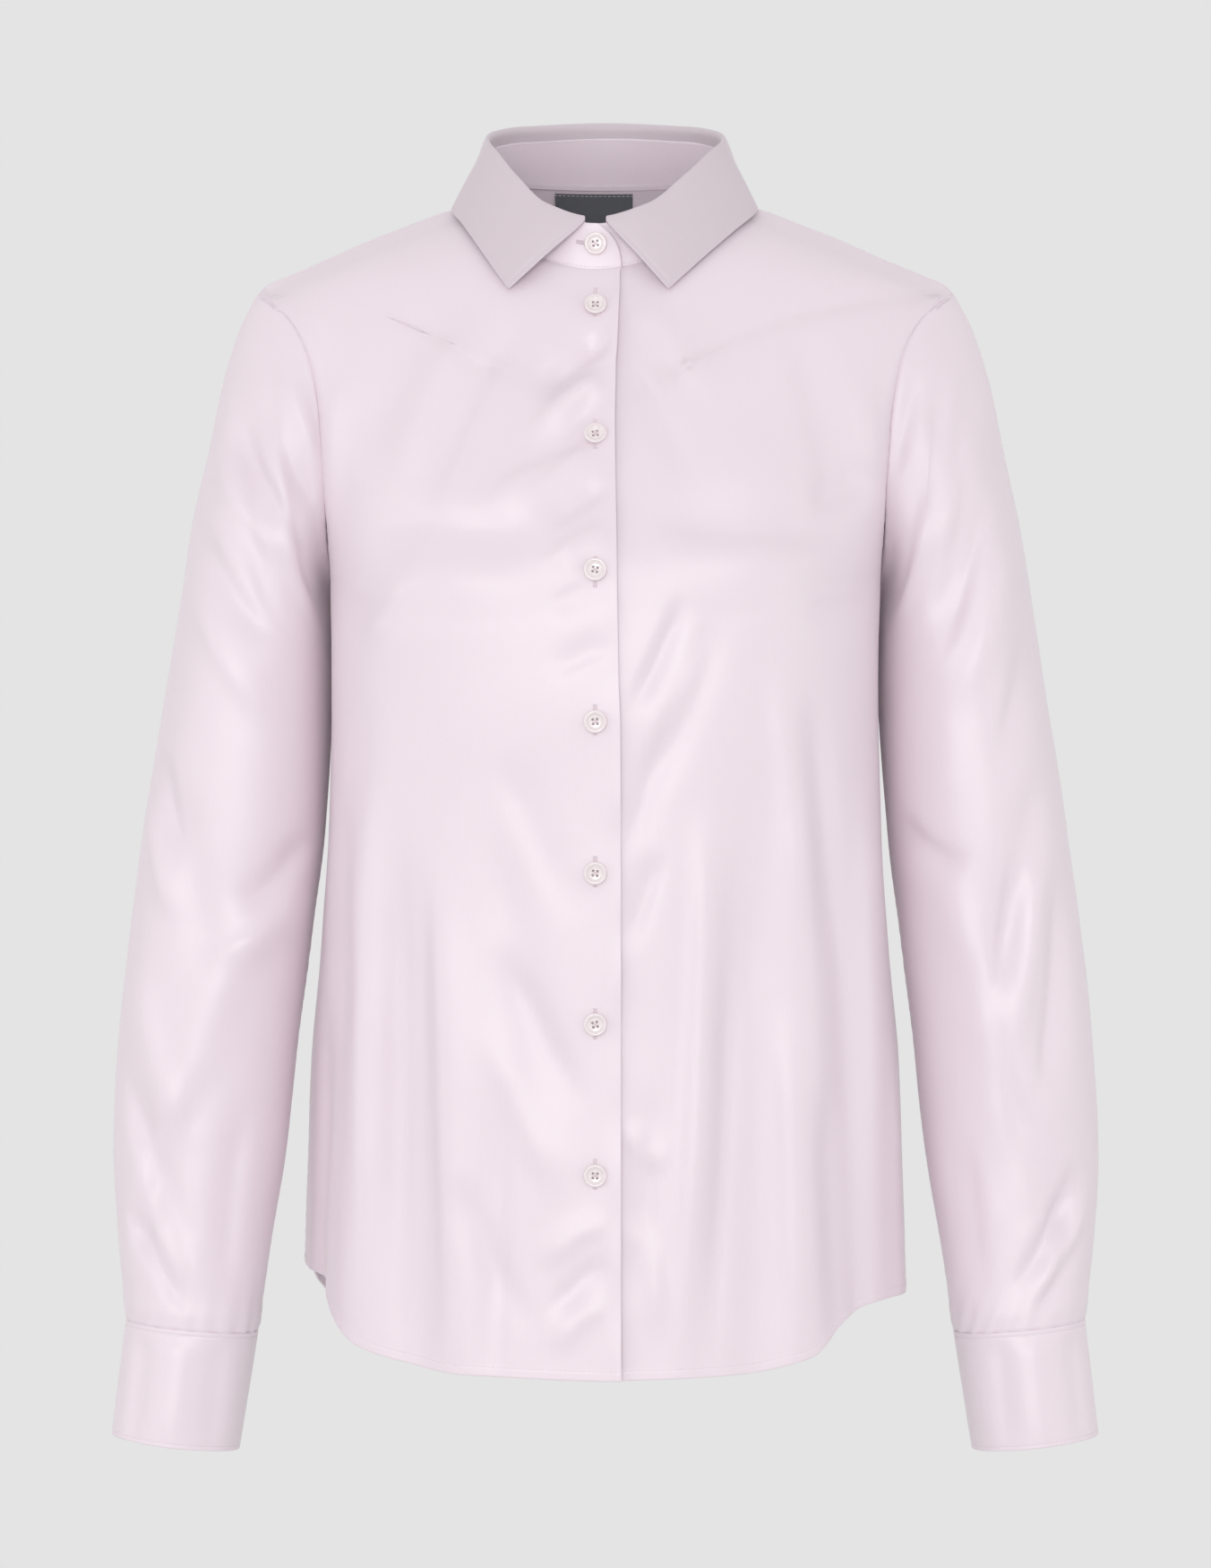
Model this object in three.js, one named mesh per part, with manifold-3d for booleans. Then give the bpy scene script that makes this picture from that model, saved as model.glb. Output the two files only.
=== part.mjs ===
// A long sleeve dress shirt, filled out and hollow as on a wearer, in millimetres.
// +Z is up and the front faces -Y, so the wearer's right hand is on the -X side.
// The origin is where the shoulders hold it: midway between the neck ends of the two shoulder lines.
// Every cloth piece is a wall about a middle surface. The two fronts, the back and the collar read one torso
// surface, whose places are given by a turn round the body (0 at the front, 90 at a side, 180 at the back,
// in degrees, negative on the wearer's right) and a height.
import * as THREE from "three";
import { mergeVertices } from "three/addons/utils/BufferGeometryUtils.js";
import Module from "manifold-3d";

const wasm = await Module();
wasm.setup();

// Driving dimensions
const CLOTH = 1.2;
const CUFF_CLOTH = 1.8;
const TRIM = 1.0;
const SEAM_GAP = 0.3;
const OVERLAP_STEP = 0.95;
const SIDE_Y = 5;
const BUTTON_LINE_X = -5.4;
const CLOSING_HALF = 13.2;
const BUTTON_RADIUS = 6;
const BUTTON_PITCH = 78.9;
const FIRST_BUTTON_Z = -63.5;
const BUTTON_COUNT = 7;
const SHOULDER_TIP_Z = -51;
const UNDERARM_Z = -211;
const ARMHOLE_HALF_DEPTH = 56;
const ARMHOLE_SQUARENESS = 2.2;
const NECK_HALF_WIDTH = 70;
const CUFF_OVERLAP_TURN = 28;
const CUFF_OPENING_TURN = 300;

// Torso sections: half width at the side line, and depth before and behind it
const torsoSections = [
  { z: -680, halfWidth: 165, front: 129, back: 124, squareness: 2.2 },
  { z: -584, halfWidth: 163.5, front: 128, back: 121, squareness: 2.2 },
  { z: -500, halfWidth: 161, front: 128, back: 116, squareness: 2.25 },
  { z: -420, halfWidth: 157.5, front: 130, back: 111, squareness: 2.3 },
  { z: -340, halfWidth: 154.5, front: 133, back: 107, squareness: 2.35 },
  { z: -270, halfWidth: 153, front: 136.5, back: 107, squareness: 2.4 },
  { z: -212, halfWidth: 153, front: 136, back: 110, squareness: 2.4 },
  { z: -170, halfWidth: 158, front: 121.5, back: 109, squareness: 2.4 },
  { z: -130, halfWidth: 170, front: 102, back: 103, squareness: 2.4 },
  { z: -101, halfWidth: 181, front: 88, back: 96, squareness: 2.4 },
  { z: -75, halfWidth: 188.5, front: 75.5, back: 87, squareness: 2.35 },
  { z: -54, halfWidth: 191, front: 65, back: 79, squareness: 2.3 },
  { z: -48, halfWidth: 186, front: 62, back: 77, squareness: 2.3 },
  { z: -40, halfWidth: 169, front: 58, back: 74, squareness: 2.25 },
  { z: -28, halfWidth: 140, front: 50, back: 69, squareness: 2.2 },
  { z: -11, halfWidth: 98, front: 35, back: 62.5, squareness: 2.15 },
  { z: 0, halfWidth: 70, front: 25, back: 58, squareness: 2.1 },
  { z: 13, halfWidth: 63, front: 20, back: 52, squareness: 2.1 },
];

// Height of the hem on each half, by the turn from the middle of the front to the side seam
const frontHemRows = [
  { turn: 0, right: -630, left: -630 },
  { turn: 25, right: -627.5, left: -627.5 },
  { turn: 38, right: -623.5, left: -620.5 },
  { turn: 50, right: -616, left: -603 },
  { turn: 60, right: -602, left: -595 },
  { turn: 72, right: -583, left: -592.5 },
  { turn: 90, right: -577, left: -591 },
];

// The same for the back, whose hem stays out of sight behind the front's
const backHemRows = [
  { turn: 0, right: -645, left: -645 },
  { turn: 30, right: -642, left: -642 },
  { turn: 45, right: -633, left: -628 },
  { turn: 58, right: -616, left: -607 },
  { turn: 70, right: -594, left: -598 },
  { turn: 80, right: -582, left: -594.5 },
  { turn: 90, right: -577, left: -591 },
];

// Heights round the neck by the turn from the button line: the neck seam, the stand's top edge and the roll
// line over which the fall turns down
const neckRows = [
  { turn: 0, seam: -44, stand: -19, roll: -18 },
  { turn: 25, seam: -38.5, stand: -12, roll: -10 },
  { turn: 45, seam: -27.8, stand: 2.5, roll: 6.5 },
  { turn: 65, seam: -14.6, stand: 16, roll: 21.4 },
  { turn: 90, seam: 0, stand: 25, roll: 31 },
  { turn: 115, seam: 8.9, stand: 31, roll: 37.5 },
  { turn: 135, seam: 11.6, stand: 34.8, roll: 41.2 },
  { turn: 180, seam: 11.6, stand: 38.6, roll: 45 },
];

// Where the hanging arm presses the side of the body in
const armPress = [
  { z: -680, depth: 0 },
  { z: -470, depth: 0 },
  { z: -400, depth: 5 },
  { z: -330, depth: 10 },
  { z: -260, depth: 12 },
  { z: -212, depth: 12 },
  { z: -180, depth: 6 },
  { z: -140, depth: 0 },
  { z: 20, depth: 0 },
];
const ARM_PRESS_HALF = 32;

// Fullness of the chest: the middle of each mound, its half turn and half height, and its depth
const chest = { turn: 36, z: -208, halfTurn: 21, halfHeight: 58, depth: 7 };

// Large soft folds of the body: ridges stand out and troughs go in, each from its top to its bottom
const torsoFolds = [
  { topTurn: -47, topZ: -260, endTurn: -56, endZ: -700, halfTurn: 6.5, depth: 4.5 },
  { topTurn: -37, topZ: -330, endTurn: -37, endZ: -700, halfTurn: 6, depth: -5.5 },
  { topTurn: -24, topZ: -380, endTurn: -25, endZ: -700, halfTurn: 6, depth: 3.5 },
  { topTurn: -19, topZ: -330, endTurn: -7, endZ: -520, halfTurn: 4.5, depth: -2.5 },
  { topTurn: -70, topZ: -420, endTurn: -73, endZ: -700, halfTurn: 5, depth: -5 },
  { topTurn: 18, topZ: -225, endTurn: 5, endZ: -330, halfTurn: 4, depth: -2.5 },
  { topTurn: 24, topZ: -300, endTurn: 27, endZ: -700, halfTurn: 5.5, depth: -5 },
  { topTurn: 37, topZ: -260, endTurn: 41, endZ: -700, halfTurn: 6, depth: 5 },
  { topTurn: 50, topZ: -330, endTurn: 57, endZ: -700, halfTurn: 6, depth: -5 },
  { topTurn: 72, topZ: -430, endTurn: 75, endZ: -700, halfTurn: 5, depth: 3 },
  { topTurn: 112, topZ: -200, endTurn: 114, endZ: -700, halfTurn: 7, depth: -5 },
  { topTurn: 132, topZ: -240, endTurn: 131, endZ: -700, halfTurn: 7, depth: 4.5 },
  { topTurn: 150, topZ: -200, endTurn: 148, endZ: -700, halfTurn: 7, depth: -5 },
  { topTurn: 171, topZ: -300, endTurn: 170, endZ: -700, halfTurn: 7, depth: 4 },
  { topTurn: -169, topZ: -200, endTurn: -166, endZ: -700, halfTurn: 6.5, depth: -4.5 },
  { topTurn: -148, topZ: -280, endTurn: -147, endZ: -700, halfTurn: 7, depth: 4.5 },
  { topTurn: -128, topZ: -210, endTurn: -130, endZ: -700, halfTurn: 7, depth: -5.5 },
  { topTurn: -110, topZ: -330, endTurn: -110, endZ: -700, halfTurn: 6.5, depth: 4 },
];

// Sleeve rings from the armhole to the cuff: where each meets the sleeve's outer and inner outline as seen
// from the front, its half depth, and how far forward its middle lies
const sleeveRings = [
  { ring: 0, outerX: 191, outerZ: -51, innerX: 141, innerZ: -211, halfDepth: 56, middleY: 5 },
  { ring: 1, outerX: 201, outerZ: -72, innerX: 145, innerZ: -214.5, halfDepth: 58, middleY: 4 },
  { ring: 2, outerX: 209.5, outerZ: -100, innerX: 147, innerZ: -218.5, halfDepth: 60, middleY: 3 },
  { ring: 3, outerX: 216, outerZ: -133, innerX: 147.5, innerZ: -224, halfDepth: 60.5, middleY: 2 },
  { ring: 4, outerX: 224, outerZ: -172, innerX: 147.5, innerZ: -233, halfDepth: 60.5, middleY: 0 },
  { ring: 5, outerX: 232, outerZ: -225, innerX: 147.5, innerZ: -252, halfDepth: 60, middleY: -2 },
  { ring: 6, outerX: 242, outerZ: -287, innerX: 149, innerZ: -294, halfDepth: 58, middleY: -5 },
  { ring: 7, outerX: 250.5, outerZ: -341, innerX: 152.5, innerZ: -344, halfDepth: 55, middleY: -8 },
  { ring: 8, outerX: 257.5, outerZ: -398, innerX: 159.5, innerZ: -400, halfDepth: 50, middleY: -11 },
  { ring: 9, outerX: 263, outerZ: -452, innerX: 166.5, innerZ: -453, halfDepth: 46, middleY: -14 },
  { ring: 10, outerX: 266, outerZ: -512, innerX: 172.5, innerZ: -514, halfDepth: 42, middleY: -18 },
  { ring: 11, outerX: 263.5, outerZ: -561, innerX: 180.5, innerZ: -565, halfDepth: 39, middleY: -22 },
  { ring: 12, outerX: 258.5, outerZ: -607, innerX: 188, innerZ: -613.5, halfDepth: 36, middleY: -26 },
];
const cuffRings = [
  { ring: 0, outerX: 258.5, outerZ: -607.5, innerX: 188, innerZ: -614, halfDepth: 36, middleY: -26 },
  { ring: 1, outerX: 265.5, outerZ: -668, innerX: 198, innerZ: -676, halfDepth: 35.5, middleY: -30 },
];
const LAST_RING = 12;

// Large folds of a sleeve, from one place to another: turns go round it, 0 outside, 90 front, 180 inside
const sleeveFolds = [
  { fromTurn: 28, fromRing: 1.5, toTurn: 118, toRing: 5.2, halfTurn: 15, depth: -3.5 },
  { fromTurn: 62, fromRing: 1.2, toTurn: 140, toRing: 4.5, halfTurn: 13, depth: 3 },
  { fromTurn: 45, fromRing: 6.3, toTurn: 95, toRing: 8.6, halfTurn: 14, depth: -3.5 },
  { fromTurn: 120, fromRing: 7.2, toTurn: 60, toRing: 10.6, halfTurn: 16, depth: 3.5 },
  { fromTurn: 95, fromRing: 9.2, toTurn: 40, toRing: 11.4, halfTurn: 13, depth: -3.5 },
  { fromTurn: 330, fromRing: 2, toTurn: 240, toRing: 5.5, halfTurn: 16, depth: -3.5 },
  { fromTurn: 300, fromRing: 6.5, toTurn: 250, toRing: 9.5, halfTurn: 16, depth: 3.5 },
  { fromTurn: 255, fromRing: 8.5, toTurn: 275, toRing: 11.5, halfTurn: 14, depth: -3 },
];

// The collar fall's free edge on one half, from its point at the front, over the shoulder, to the back. It
// lies just off the body, at a height of the torso and a turn of it on either side
const FALL_START = 5.5;
const fallEdge = [
  { turn: 5.5, right: 11.2, left: 9.2, z: -55.5 },
  { turn: 30, right: 17, left: 17, z: -39.5 },
  { turn: 60, right: 40, left: 40, z: -17.5 },
  { turn: 90, right: 90, left: 90, z: -2 },
  { turn: 130, right: 128, left: 128, z: 0 },
  { turn: 180, right: 180, left: 180, z: 2 },
];
const FALL_CLEARANCE = 3.4;
const FALL_BOW = 1.2;
const ROLL_RADIUS = 2;

const DEGREE = Math.PI / 180;
const sin = (turn) => Math.sin(turn * DEGREE);
const cos = (turn) => Math.cos(turn * DEGREE);
const lerp = THREE.MathUtils.lerp;
const smooth = (x) => THREE.MathUtils.smoothstep(x, 0, 1);
const signedPower = (value, power) => Math.sign(value) * Math.abs(value) ** power;

// One column of a table as a smooth function of another, which never overshoots the rows
function smoothColumn(rows, key, name) {
  const at = rows.map((row) => row[key]);
  const value = rows.map((row) => row[name]);
  const rise = at.slice(1).map((x, i) => (value[i + 1] - value[i]) / (x - at[i]));
  const slope = at.map((x, i) => {
    if (i === 0) return rise[0];
    if (i === at.length - 1) return rise[i - 1];
    const product = rise[i - 1] * rise[i];
    return product > 0 ? (2 * product) / (rise[i - 1] + rise[i]) : 0;
  });
  return (x) => {
    let i = 0;
    while (i < at.length - 2 && x > at[i + 1]) i += 1;
    const span = at[i + 1] - at[i];
    const t = THREE.MathUtils.clamp((x - at[i]) / span, 0, 1);
    const t2 = t * t;
    const t3 = t2 * t;
    return (
      value[i] * (2 * t3 - 3 * t2 + 1) +
      value[i + 1] * (3 * t2 - 2 * t3) +
      span * (slope[i] * (t3 - 2 * t2 + t) + slope[i + 1] * (t3 - t2))
    );
  };
}

const torso = {
  halfWidth: smoothColumn(torsoSections, "z", "halfWidth"),
  front: smoothColumn(torsoSections, "z", "front"),
  back: smoothColumn(torsoSections, "z", "back"),
  squareness: smoothColumn(torsoSections, "z", "squareness"),
  press: smoothColumn(armPress, "z", "depth"),
};

// How far a fold stands out at a place. It is deepest along its middle line and fades at both ends
function foldDepth(fold, across, along, halfAcross) {
  if (along <= 0 || along >= 1) return 0;
  const fade = smooth(along / 0.3) * smooth((1 - along) / 0.3);
  return fold.depth * fade * Math.exp(-((across / halfAcross) ** 2));
}

function torsoRelief(turn, z) {
  const wrapped = ((((turn + 180) % 360) + 360) % 360) - 180;
  let out = 0;
  for (const fold of torsoFolds) {
    const along = (z - fold.topZ) / (fold.endZ - fold.topZ);
    const middle = lerp(fold.topTurn, fold.endTurn, THREE.MathUtils.clamp(along, 0, 1));
    out += foldDepth(fold, wrapped - middle, along, fold.halfTurn);
  }
  const beside = (Math.abs(wrapped) - chest.turn) / chest.halfTurn;
  const above = (z - chest.z) / chest.halfHeight;
  return out + chest.depth * Math.exp(-(beside ** 2) - above ** 2);
}

// The middle surface of the body, with its folds, moved out by a further amount
function torsoPoint(turn, z, further = 0) {
  const power = torso.squareness(z);
  const halfWidth = torso.halfWidth(z);
  const depth = cos(turn) > 0 ? torso.front(z) : torso.back(z);
  const across = signedPower(sin(turn), 2 / power);
  const forward = signedPower(cos(turn), 2 / power);
  const normal = new THREE.Vector2(
    signedPower(across, power - 1) / halfWidth,
    -signedPower(forward, power - 1) / depth,
  ).normalize();
  const fromSide = (forward * depth) / ARM_PRESS_HALF;
  const out = torsoRelief(turn, z) - torso.press(z) * Math.exp(-(fromSide ** 2)) + further;
  return new THREE.Vector3(
    across * halfWidth + normal.x * out,
    SIDE_Y - forward * depth + normal.y * out,
    z,
  );
}

function torsoNormal(turn, z) {
  const round = torsoPoint(turn + 0.5, z).sub(torsoPoint(turn - 0.5, z));
  const up = torsoPoint(turn, z + 1).sub(torsoPoint(turn, z - 1));
  return round.cross(up).normalize();
}

// The turn at which the section at a height is x away from the middle, before or behind the side line
function turnAtWidth(z, x, behind = false) {
  const share = THREE.MathUtils.clamp(x / torso.halfWidth(z), -1, 1);
  const turn = Math.asin(signedPower(share, torso.squareness(z) / 2)) / DEGREE;
  return behind ? 180 - turn : turn;
}

// The turn, before or behind a side line, at which the section is that far from the line
function turnAtDepth(z, distance, behind = false) {
  const depth = behind ? torso.back(z) : torso.front(z);
  const from = Math.asin((distance / depth) ** (torso.squareness(z) / 2)) / DEGREE;
  return behind ? 90 + from : 90 - from;
}

// The armhole seen from the side: its height, and how far it stands before or behind the side line. The turn
// is 0 at the shoulder and 180 at the underarm
function armholePlace(turn) {
  const middle = (SHOULDER_TIP_Z + UNDERARM_Z) / 2;
  const half = (SHOULDER_TIP_Z - UNDERARM_Z) / 2;
  return {
    z: middle + half * signedPower(cos(turn), 2 / ARMHOLE_SQUARENESS),
    distance: ARMHOLE_HALF_DEPTH * Math.abs(sin(turn)) ** (2 / ARMHOLE_SQUARENESS),
  };
}

// The neckline round the neck: 0 at the button line, 90 and -90 at the shoulders, 180 at the back
const neckRowsRound = [
  { ...neckRows.at(1), turn: -neckRows.at(1).turn },
  ...neckRows,
  { ...neckRows.at(-2), turn: 360 - neckRows.at(-2).turn },
];
const neckLines = Object.fromEntries(
  ["seam", "stand", "roll"].map((name) => [name, smoothColumn(neckRowsRound, "turn", name)]),
);

function neckHeight(turn, line = "seam") {
  return neckLines[line](Math.acos(cos(turn)) / DEGREE);
}

function frontShift(turn) {
  return cos(turn) > 0 ? BUTTON_LINE_X * cos(turn) ** 2 : 0;
}

function necklinePlace(turn) {
  const behind = cos(turn) < 0;
  const z = neckHeight(turn);
  const halfWidth = behind ? torso.halfWidth(z) : NECK_HALF_WIDTH;
  const x = halfWidth * sin(turn) + frontShift(turn);
  return { turn: turnAtWidth(z, x, behind), z };
}

const hemLines = [frontHemRows, backHemRows].map((rows) => ({
  right: smoothColumn(rows, "turn", "right"),
  left: smoothColumn(rows, "turn", "left"),
}));
const HEM_SIDE_Z = { right: frontHemRows.at(-1).right, left: frontHemRows.at(-1).left };

function hemHeight(turn) {
  const side = sin(turn) < 0 ? "right" : "left";
  const fromMiddle = Math.asin(Math.abs(sin(turn))) / DEGREE;
  return hemLines[cos(turn) > 0 ? 0 : 1][side](fromMiddle);
}

// A grid of places inside four edges, each a function of how far along it is
function placesInside(bottom, top, first, last, columns, rows) {
  const mix = (a, b, t) => ({ turn: lerp(a.turn, b.turn, t), z: lerp(a.z, b.z, t) });
  return grid(rows, columns, (v, u) => {
    const across = mix(first(v), last(v), u);
    const up = mix(bottom(u), top(u), v);
    const corners = mix(mix(bottom(0), bottom(1), u), mix(top(0), top(1), u), v);
    return {
      turn: across.turn + up.turn - corners.turn,
      z: across.z + up.z - corners.z,
    };
  });
}

// A grid of points, a row for each step up and a column for each step across, both from 0 to 1
function grid(rows, columns, pointAt) {
  return Array.from({ length: rows + 1 }, (_, i) =>
    Array.from({ length: columns + 1 }, (_, j) => pointAt(i / rows, j / columns)),
  );
}

// A closed wall about a grid of points. Wrapped grids close on themselves from the last column to the first
function wall(points, thickness, { wrapped = false, normals = null } = {}) {
  const rows = points.length;
  const columns = points[0].length;
  const step = (j) => (wrapped ? (j + columns) % columns : THREE.MathUtils.clamp(j, 0, columns - 1));
  const normal = (i, j) => {
    if (normals) return normals[i][j];
    const across = points[i][step(j + 1)].clone().sub(points[i][step(j - 1)]);
    const up = points[Math.min(i + 1, rows - 1)][j].clone().sub(points[Math.max(i - 1, 0)][j]);
    return across.cross(up).normalize();
  };
  const layer = (off) =>
    points.flatMap((row, i) => row.map((p, j) => p.clone().addScaledVector(normal(i, j), off)));
  const vertices = [...layer(thickness / 2), ...layer(-thickness / 2)];
  const at = (side, i, j) => side * rows * columns + i * columns + step(j);
  const index = [];
  const quad = (a, b, c, d) => index.push(a, b, c, a, c, d);
  const last = wrapped ? columns : columns - 1;
  for (let j = 0; j < last; j += 1) {
    for (let i = 0; i < rows - 1; i += 1) {
      quad(at(0, i, j), at(0, i, j + 1), at(0, i + 1, j + 1), at(0, i + 1, j));
      quad(at(1, i + 1, j), at(1, i + 1, j + 1), at(1, i, j + 1), at(1, i, j));
    }
    quad(at(1, 0, j), at(1, 0, j + 1), at(0, 0, j + 1), at(0, 0, j));
    quad(at(0, rows - 1, j), at(0, rows - 1, j + 1), at(1, rows - 1, j + 1), at(1, rows - 1, j));
  }
  for (let i = 0; i < rows - 1 && !wrapped; i += 1) {
    quad(at(0, i, 0), at(0, i + 1, 0), at(1, i + 1, 0), at(1, i, 0));
    quad(at(1, i, last), at(1, i + 1, last), at(0, i + 1, last), at(0, i, last));
  }
  const geometry = new THREE.BufferGeometry().setFromPoints(vertices);
  geometry.setIndex(index);
  geometry.computeVertexNormals();
  return geometry;
}

const cottonSatin = new THREE.MeshStandardMaterial({ color: 0xeadfe5, roughness: 0.42, metalness: 0 });
const shellButton = new THREE.MeshStandardMaterial({ color: 0xf1e9ea, roughness: 0.25, metalness: 0 });
const labelWeave = new THREE.MeshStandardMaterial({ color: 0x5b6065, roughness: 0.7, metalness: 0 });

const shirt = new THREE.Group();
function add(name, geometry, material = cottonSatin) {
  const mesh = new THREE.Mesh(geometry, material);
  mesh.name = name;
  shirt.add(mesh);
  return mesh;
}

// Rows of a panel: its outer edge is the side seam, then the armhole, then the shoulder
const SEAM_ROWS = 12;
const ARMHOLE_ROWS = 10;
const SHOULDER_ROWS = 5;
const SHOULDER_CROWDING = 1.6;
const PANEL_ROWS = SEAM_ROWS + ARMHOLE_ROWS + SHOULDER_ROWS;

// How far up the closing each row ends
const closingRows = [
  { row: 0, share: 0 },
  { row: SEAM_ROWS, share: 0.69 },
  { row: SEAM_ROWS + ARMHOLE_ROWS, share: 0.91 },
  { row: PANEL_ROWS, share: 1 },
];
const closingShare = smoothColumn(closingRows, "row", "share");

function outerPlace(side, row) {
  const onArmhole = row - SEAM_ROWS;
  const onShoulder = onArmhole - ARMHOLE_ROWS;
  if (onShoulder > 0) {
    const up = 1 - (1 - onShoulder / SHOULDER_ROWS) ** SHOULDER_CROWDING;
    return { z: lerp(SHOULDER_TIP_Z, 0, up), distance: 0 };
  }
  if (onArmhole > 0) return armholePlace(180 * (1 - onArmhole / ARMHOLE_ROWS));
  return { z: lerp(HEM_SIDE_Z[side], UNDERARM_Z, row / SEAM_ROWS), distance: 0 };
}

function outerEdge(side, behind) {
  const sign = side === "right" ? -1 : 1;
  return (v) => {
    const { z, distance } = outerPlace(side, v * PANEL_ROWS);
    const turn = turnAtDepth(z, Math.max(distance, SEAM_GAP / 2), behind);
    return { turn: sign * turn, z };
  };
}

// How far a front lies off the torso surface near the closing, where the right one lies over the left
function closingStep(side, turn, z) {
  const x = torsoPoint(turn, z).x - BUTTON_LINE_X;
  const towards = side === "right" ? x : -x;
  const lap = smooth((towards + 3 * CLOSING_HALF) / (2 * CLOSING_HALF));
  return (side === "right" ? OVERLAP_STEP : -OVERLAP_STEP) * lap;
}

function closingEdge(side) {
  return BUTTON_LINE_X + (side === "right" ? CLOSING_HALF : -CLOSING_HALF);
}

// The neck turn at which the neckline reaches an x near the button line
function neckTurnAt(x) {
  return Math.asin((x - BUTTON_LINE_X) / NECK_HALF_WIDTH) / DEGREE;
}

function normalsAt(places) {
  return places.map((row) => row.map(({ turn, z }) => torsoNormal(turn, z)));
}

function frontPanel(side) {
  const outer = outerEdge(side, false);
  const edgeX = closingEdge(side);
  const neckEnd = neckTurnAt(edgeX);
  const neckStart = side === "right" ? -90 : 90;
  const low = hemHeight(turnAtWidth(frontHemRows[0][side], edgeX));
  const high = neckHeight(neckEnd);
  const closing = (v) => {
    const z = lerp(low, high, closingShare(v * PANEL_ROWS));
    return { turn: turnAtWidth(z, edgeX), z };
  };
  const hem = (u) => {
    const turn = lerp(outer(0).turn, closing(0).turn, u);
    return { turn, z: hemHeight(turn) };
  };
  const neck = (u) => {
    if (u === 0) return outer(1);
    if (u === 1) return closing(1);
    return necklinePlace(lerp(neckStart, neckEnd, u));
  };
  const places = placesInside(hem, neck, outer, closing, 14, PANEL_ROWS);
  if (side === "left") places.forEach((row) => row.reverse());
  const points = places.map((row) =>
    row.map(({ turn, z }) => torsoPoint(turn, z, closingStep(side, turn, z))),
  );
  return wall(points, CLOTH, { normals: normalsAt(places) });
}

function backPanel() {
  const right = outerEdge("right", true);
  const left = outerEdge("left", true);
  const wrappedRight = (v) => ({ turn: right(v).turn + 360, z: right(v).z });
  const hem = (u) => {
    const turn = lerp(left(0).turn, wrappedRight(0).turn, u);
    return { turn, z: hemHeight(turn) };
  };
  const neck = (u) => {
    if (u === 0) return left(1);
    if (u === 1) return wrappedRight(1);
    return necklinePlace(lerp(90, 270, u));
  };
  const places = placesInside(hem, neck, left, wrappedRight, 24, PANEL_ROWS);
  const points = places.map((row) => row.map(({ turn, z }) => torsoPoint(turn, z)));
  return wall(points, CLOTH, { normals: normalsAt(places) });
}

add("front_right", frontPanel("right"));
add("front_left", frontPanel("left"));
add("back", backPanel());

// A ring table as functions of the ring number
function ringColumns(rings) {
  const names = ["outerX", "outerZ", "innerX", "innerZ", "halfDepth", "middleY"];
  return Object.fromEntries(names.map((name) => [name, smoothColumn(rings, "ring", name)]));
}
const sleeveTable = ringColumns(sleeveRings);
const cuffTable = ringColumns(cuffRings);

// A point on an oval ring of a sleeve or cuff, on the +X side
function ringPoint(table, ring, turn) {
  const outer = new THREE.Vector3(table.outerX(ring), 0, table.outerZ(ring));
  const inner = new THREE.Vector3(table.innerX(ring), 0, table.innerZ(ring));
  const middle = outer.clone().add(inner).multiplyScalar(0.5);
  const half = outer.sub(inner).multiplyScalar(0.5);
  const point = middle.addScaledVector(half, cos(turn));
  point.y = table.middleY(ring) - table.halfDepth(ring) * sin(turn);
  return point;
}

// The armhole's edge on the +X side, at a turn round the sleeve
function armholePoint(turn) {
  const { z, distance } = armholePlace(turn);
  return torsoPoint(turnAtDepth(z, distance, sin(turn) < 0), z);
}

// The first rings blend into the armhole, and the sleeve starts a little way off it
const SLEEVE_BLEND_RINGS = 5;
const SLEEVE_START = 2.1;
const SLEEVE_START_RINGS = 0.9;

function sleeveRelief(turn, ring) {
  let out = 0;
  for (const fold of sleeveFolds) {
    const along = (ring - fold.fromRing) / (fold.toRing - fold.fromRing);
    const middle = lerp(fold.fromTurn, fold.toTurn, THREE.MathUtils.clamp(along, 0, 1));
    out += foldDepth(fold, turn - middle, along, fold.halfTurn);
  }
  return out;
}

function plainSleevePoint(ring, turn) {
  const point = ringPoint(sleeveTable, ring, turn);
  const fade = 1 - smooth(ring / SLEEVE_BLEND_RINGS);
  if (fade > 0) {
    const away = armholePoint(turn).sub(ringPoint(sleeveTable, 0, turn));
    point.addScaledVector(away, fade);
  }
  return point;
}

// The sleeve's middle surface on the +X side, moved out by a further amount
function sleevePoint(ring, turn, further = 0) {
  const point = plainSleevePoint(ring, turn);
  const span = 0.2;
  const along = plainSleevePoint(Math.min(ring + span, LAST_RING), turn);
  along.sub(plainSleevePoint(Math.max(ring - span, 0), turn));
  const round = plainSleevePoint(ring, turn + 2).sub(plainSleevePoint(ring, turn - 2));
  const normal = round.cross(along).normalize();
  return point.addScaledVector(normal, sleeveRelief(turn, ring) + further);
}

function onSide(side, points) {
  if (side === "left") return points;
  return points.map((row) => row.map((p) => new THREE.Vector3(-p.x, p.y, p.z)));
}

const SLEEVE_ROWS = 22;
const SLEEVE_COLUMNS = 2 * ARMHOLE_ROWS;

function sleeve(side) {
  const points = Array.from({ length: SLEEVE_ROWS + 1 }, (_, i) =>
    Array.from({ length: SLEEVE_COLUMNS }, (_, j) => {
      const ring = (LAST_RING * i) / SLEEVE_ROWS;
      const turn = (360 * j) / SLEEVE_COLUMNS;
      const point = sleevePoint(ring, turn);
      const ahead = sleevePoint(SLEEVE_START_RINGS, turn).sub(sleevePoint(0, turn)).normalize();
      const start = 1 - smooth(ring / SLEEVE_START_RINGS);
      return point.addScaledVector(ahead, SLEEVE_START * start);
    }),
  );
  return wall(onSide(side, points), CLOTH, { wrapped: true });
}

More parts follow.
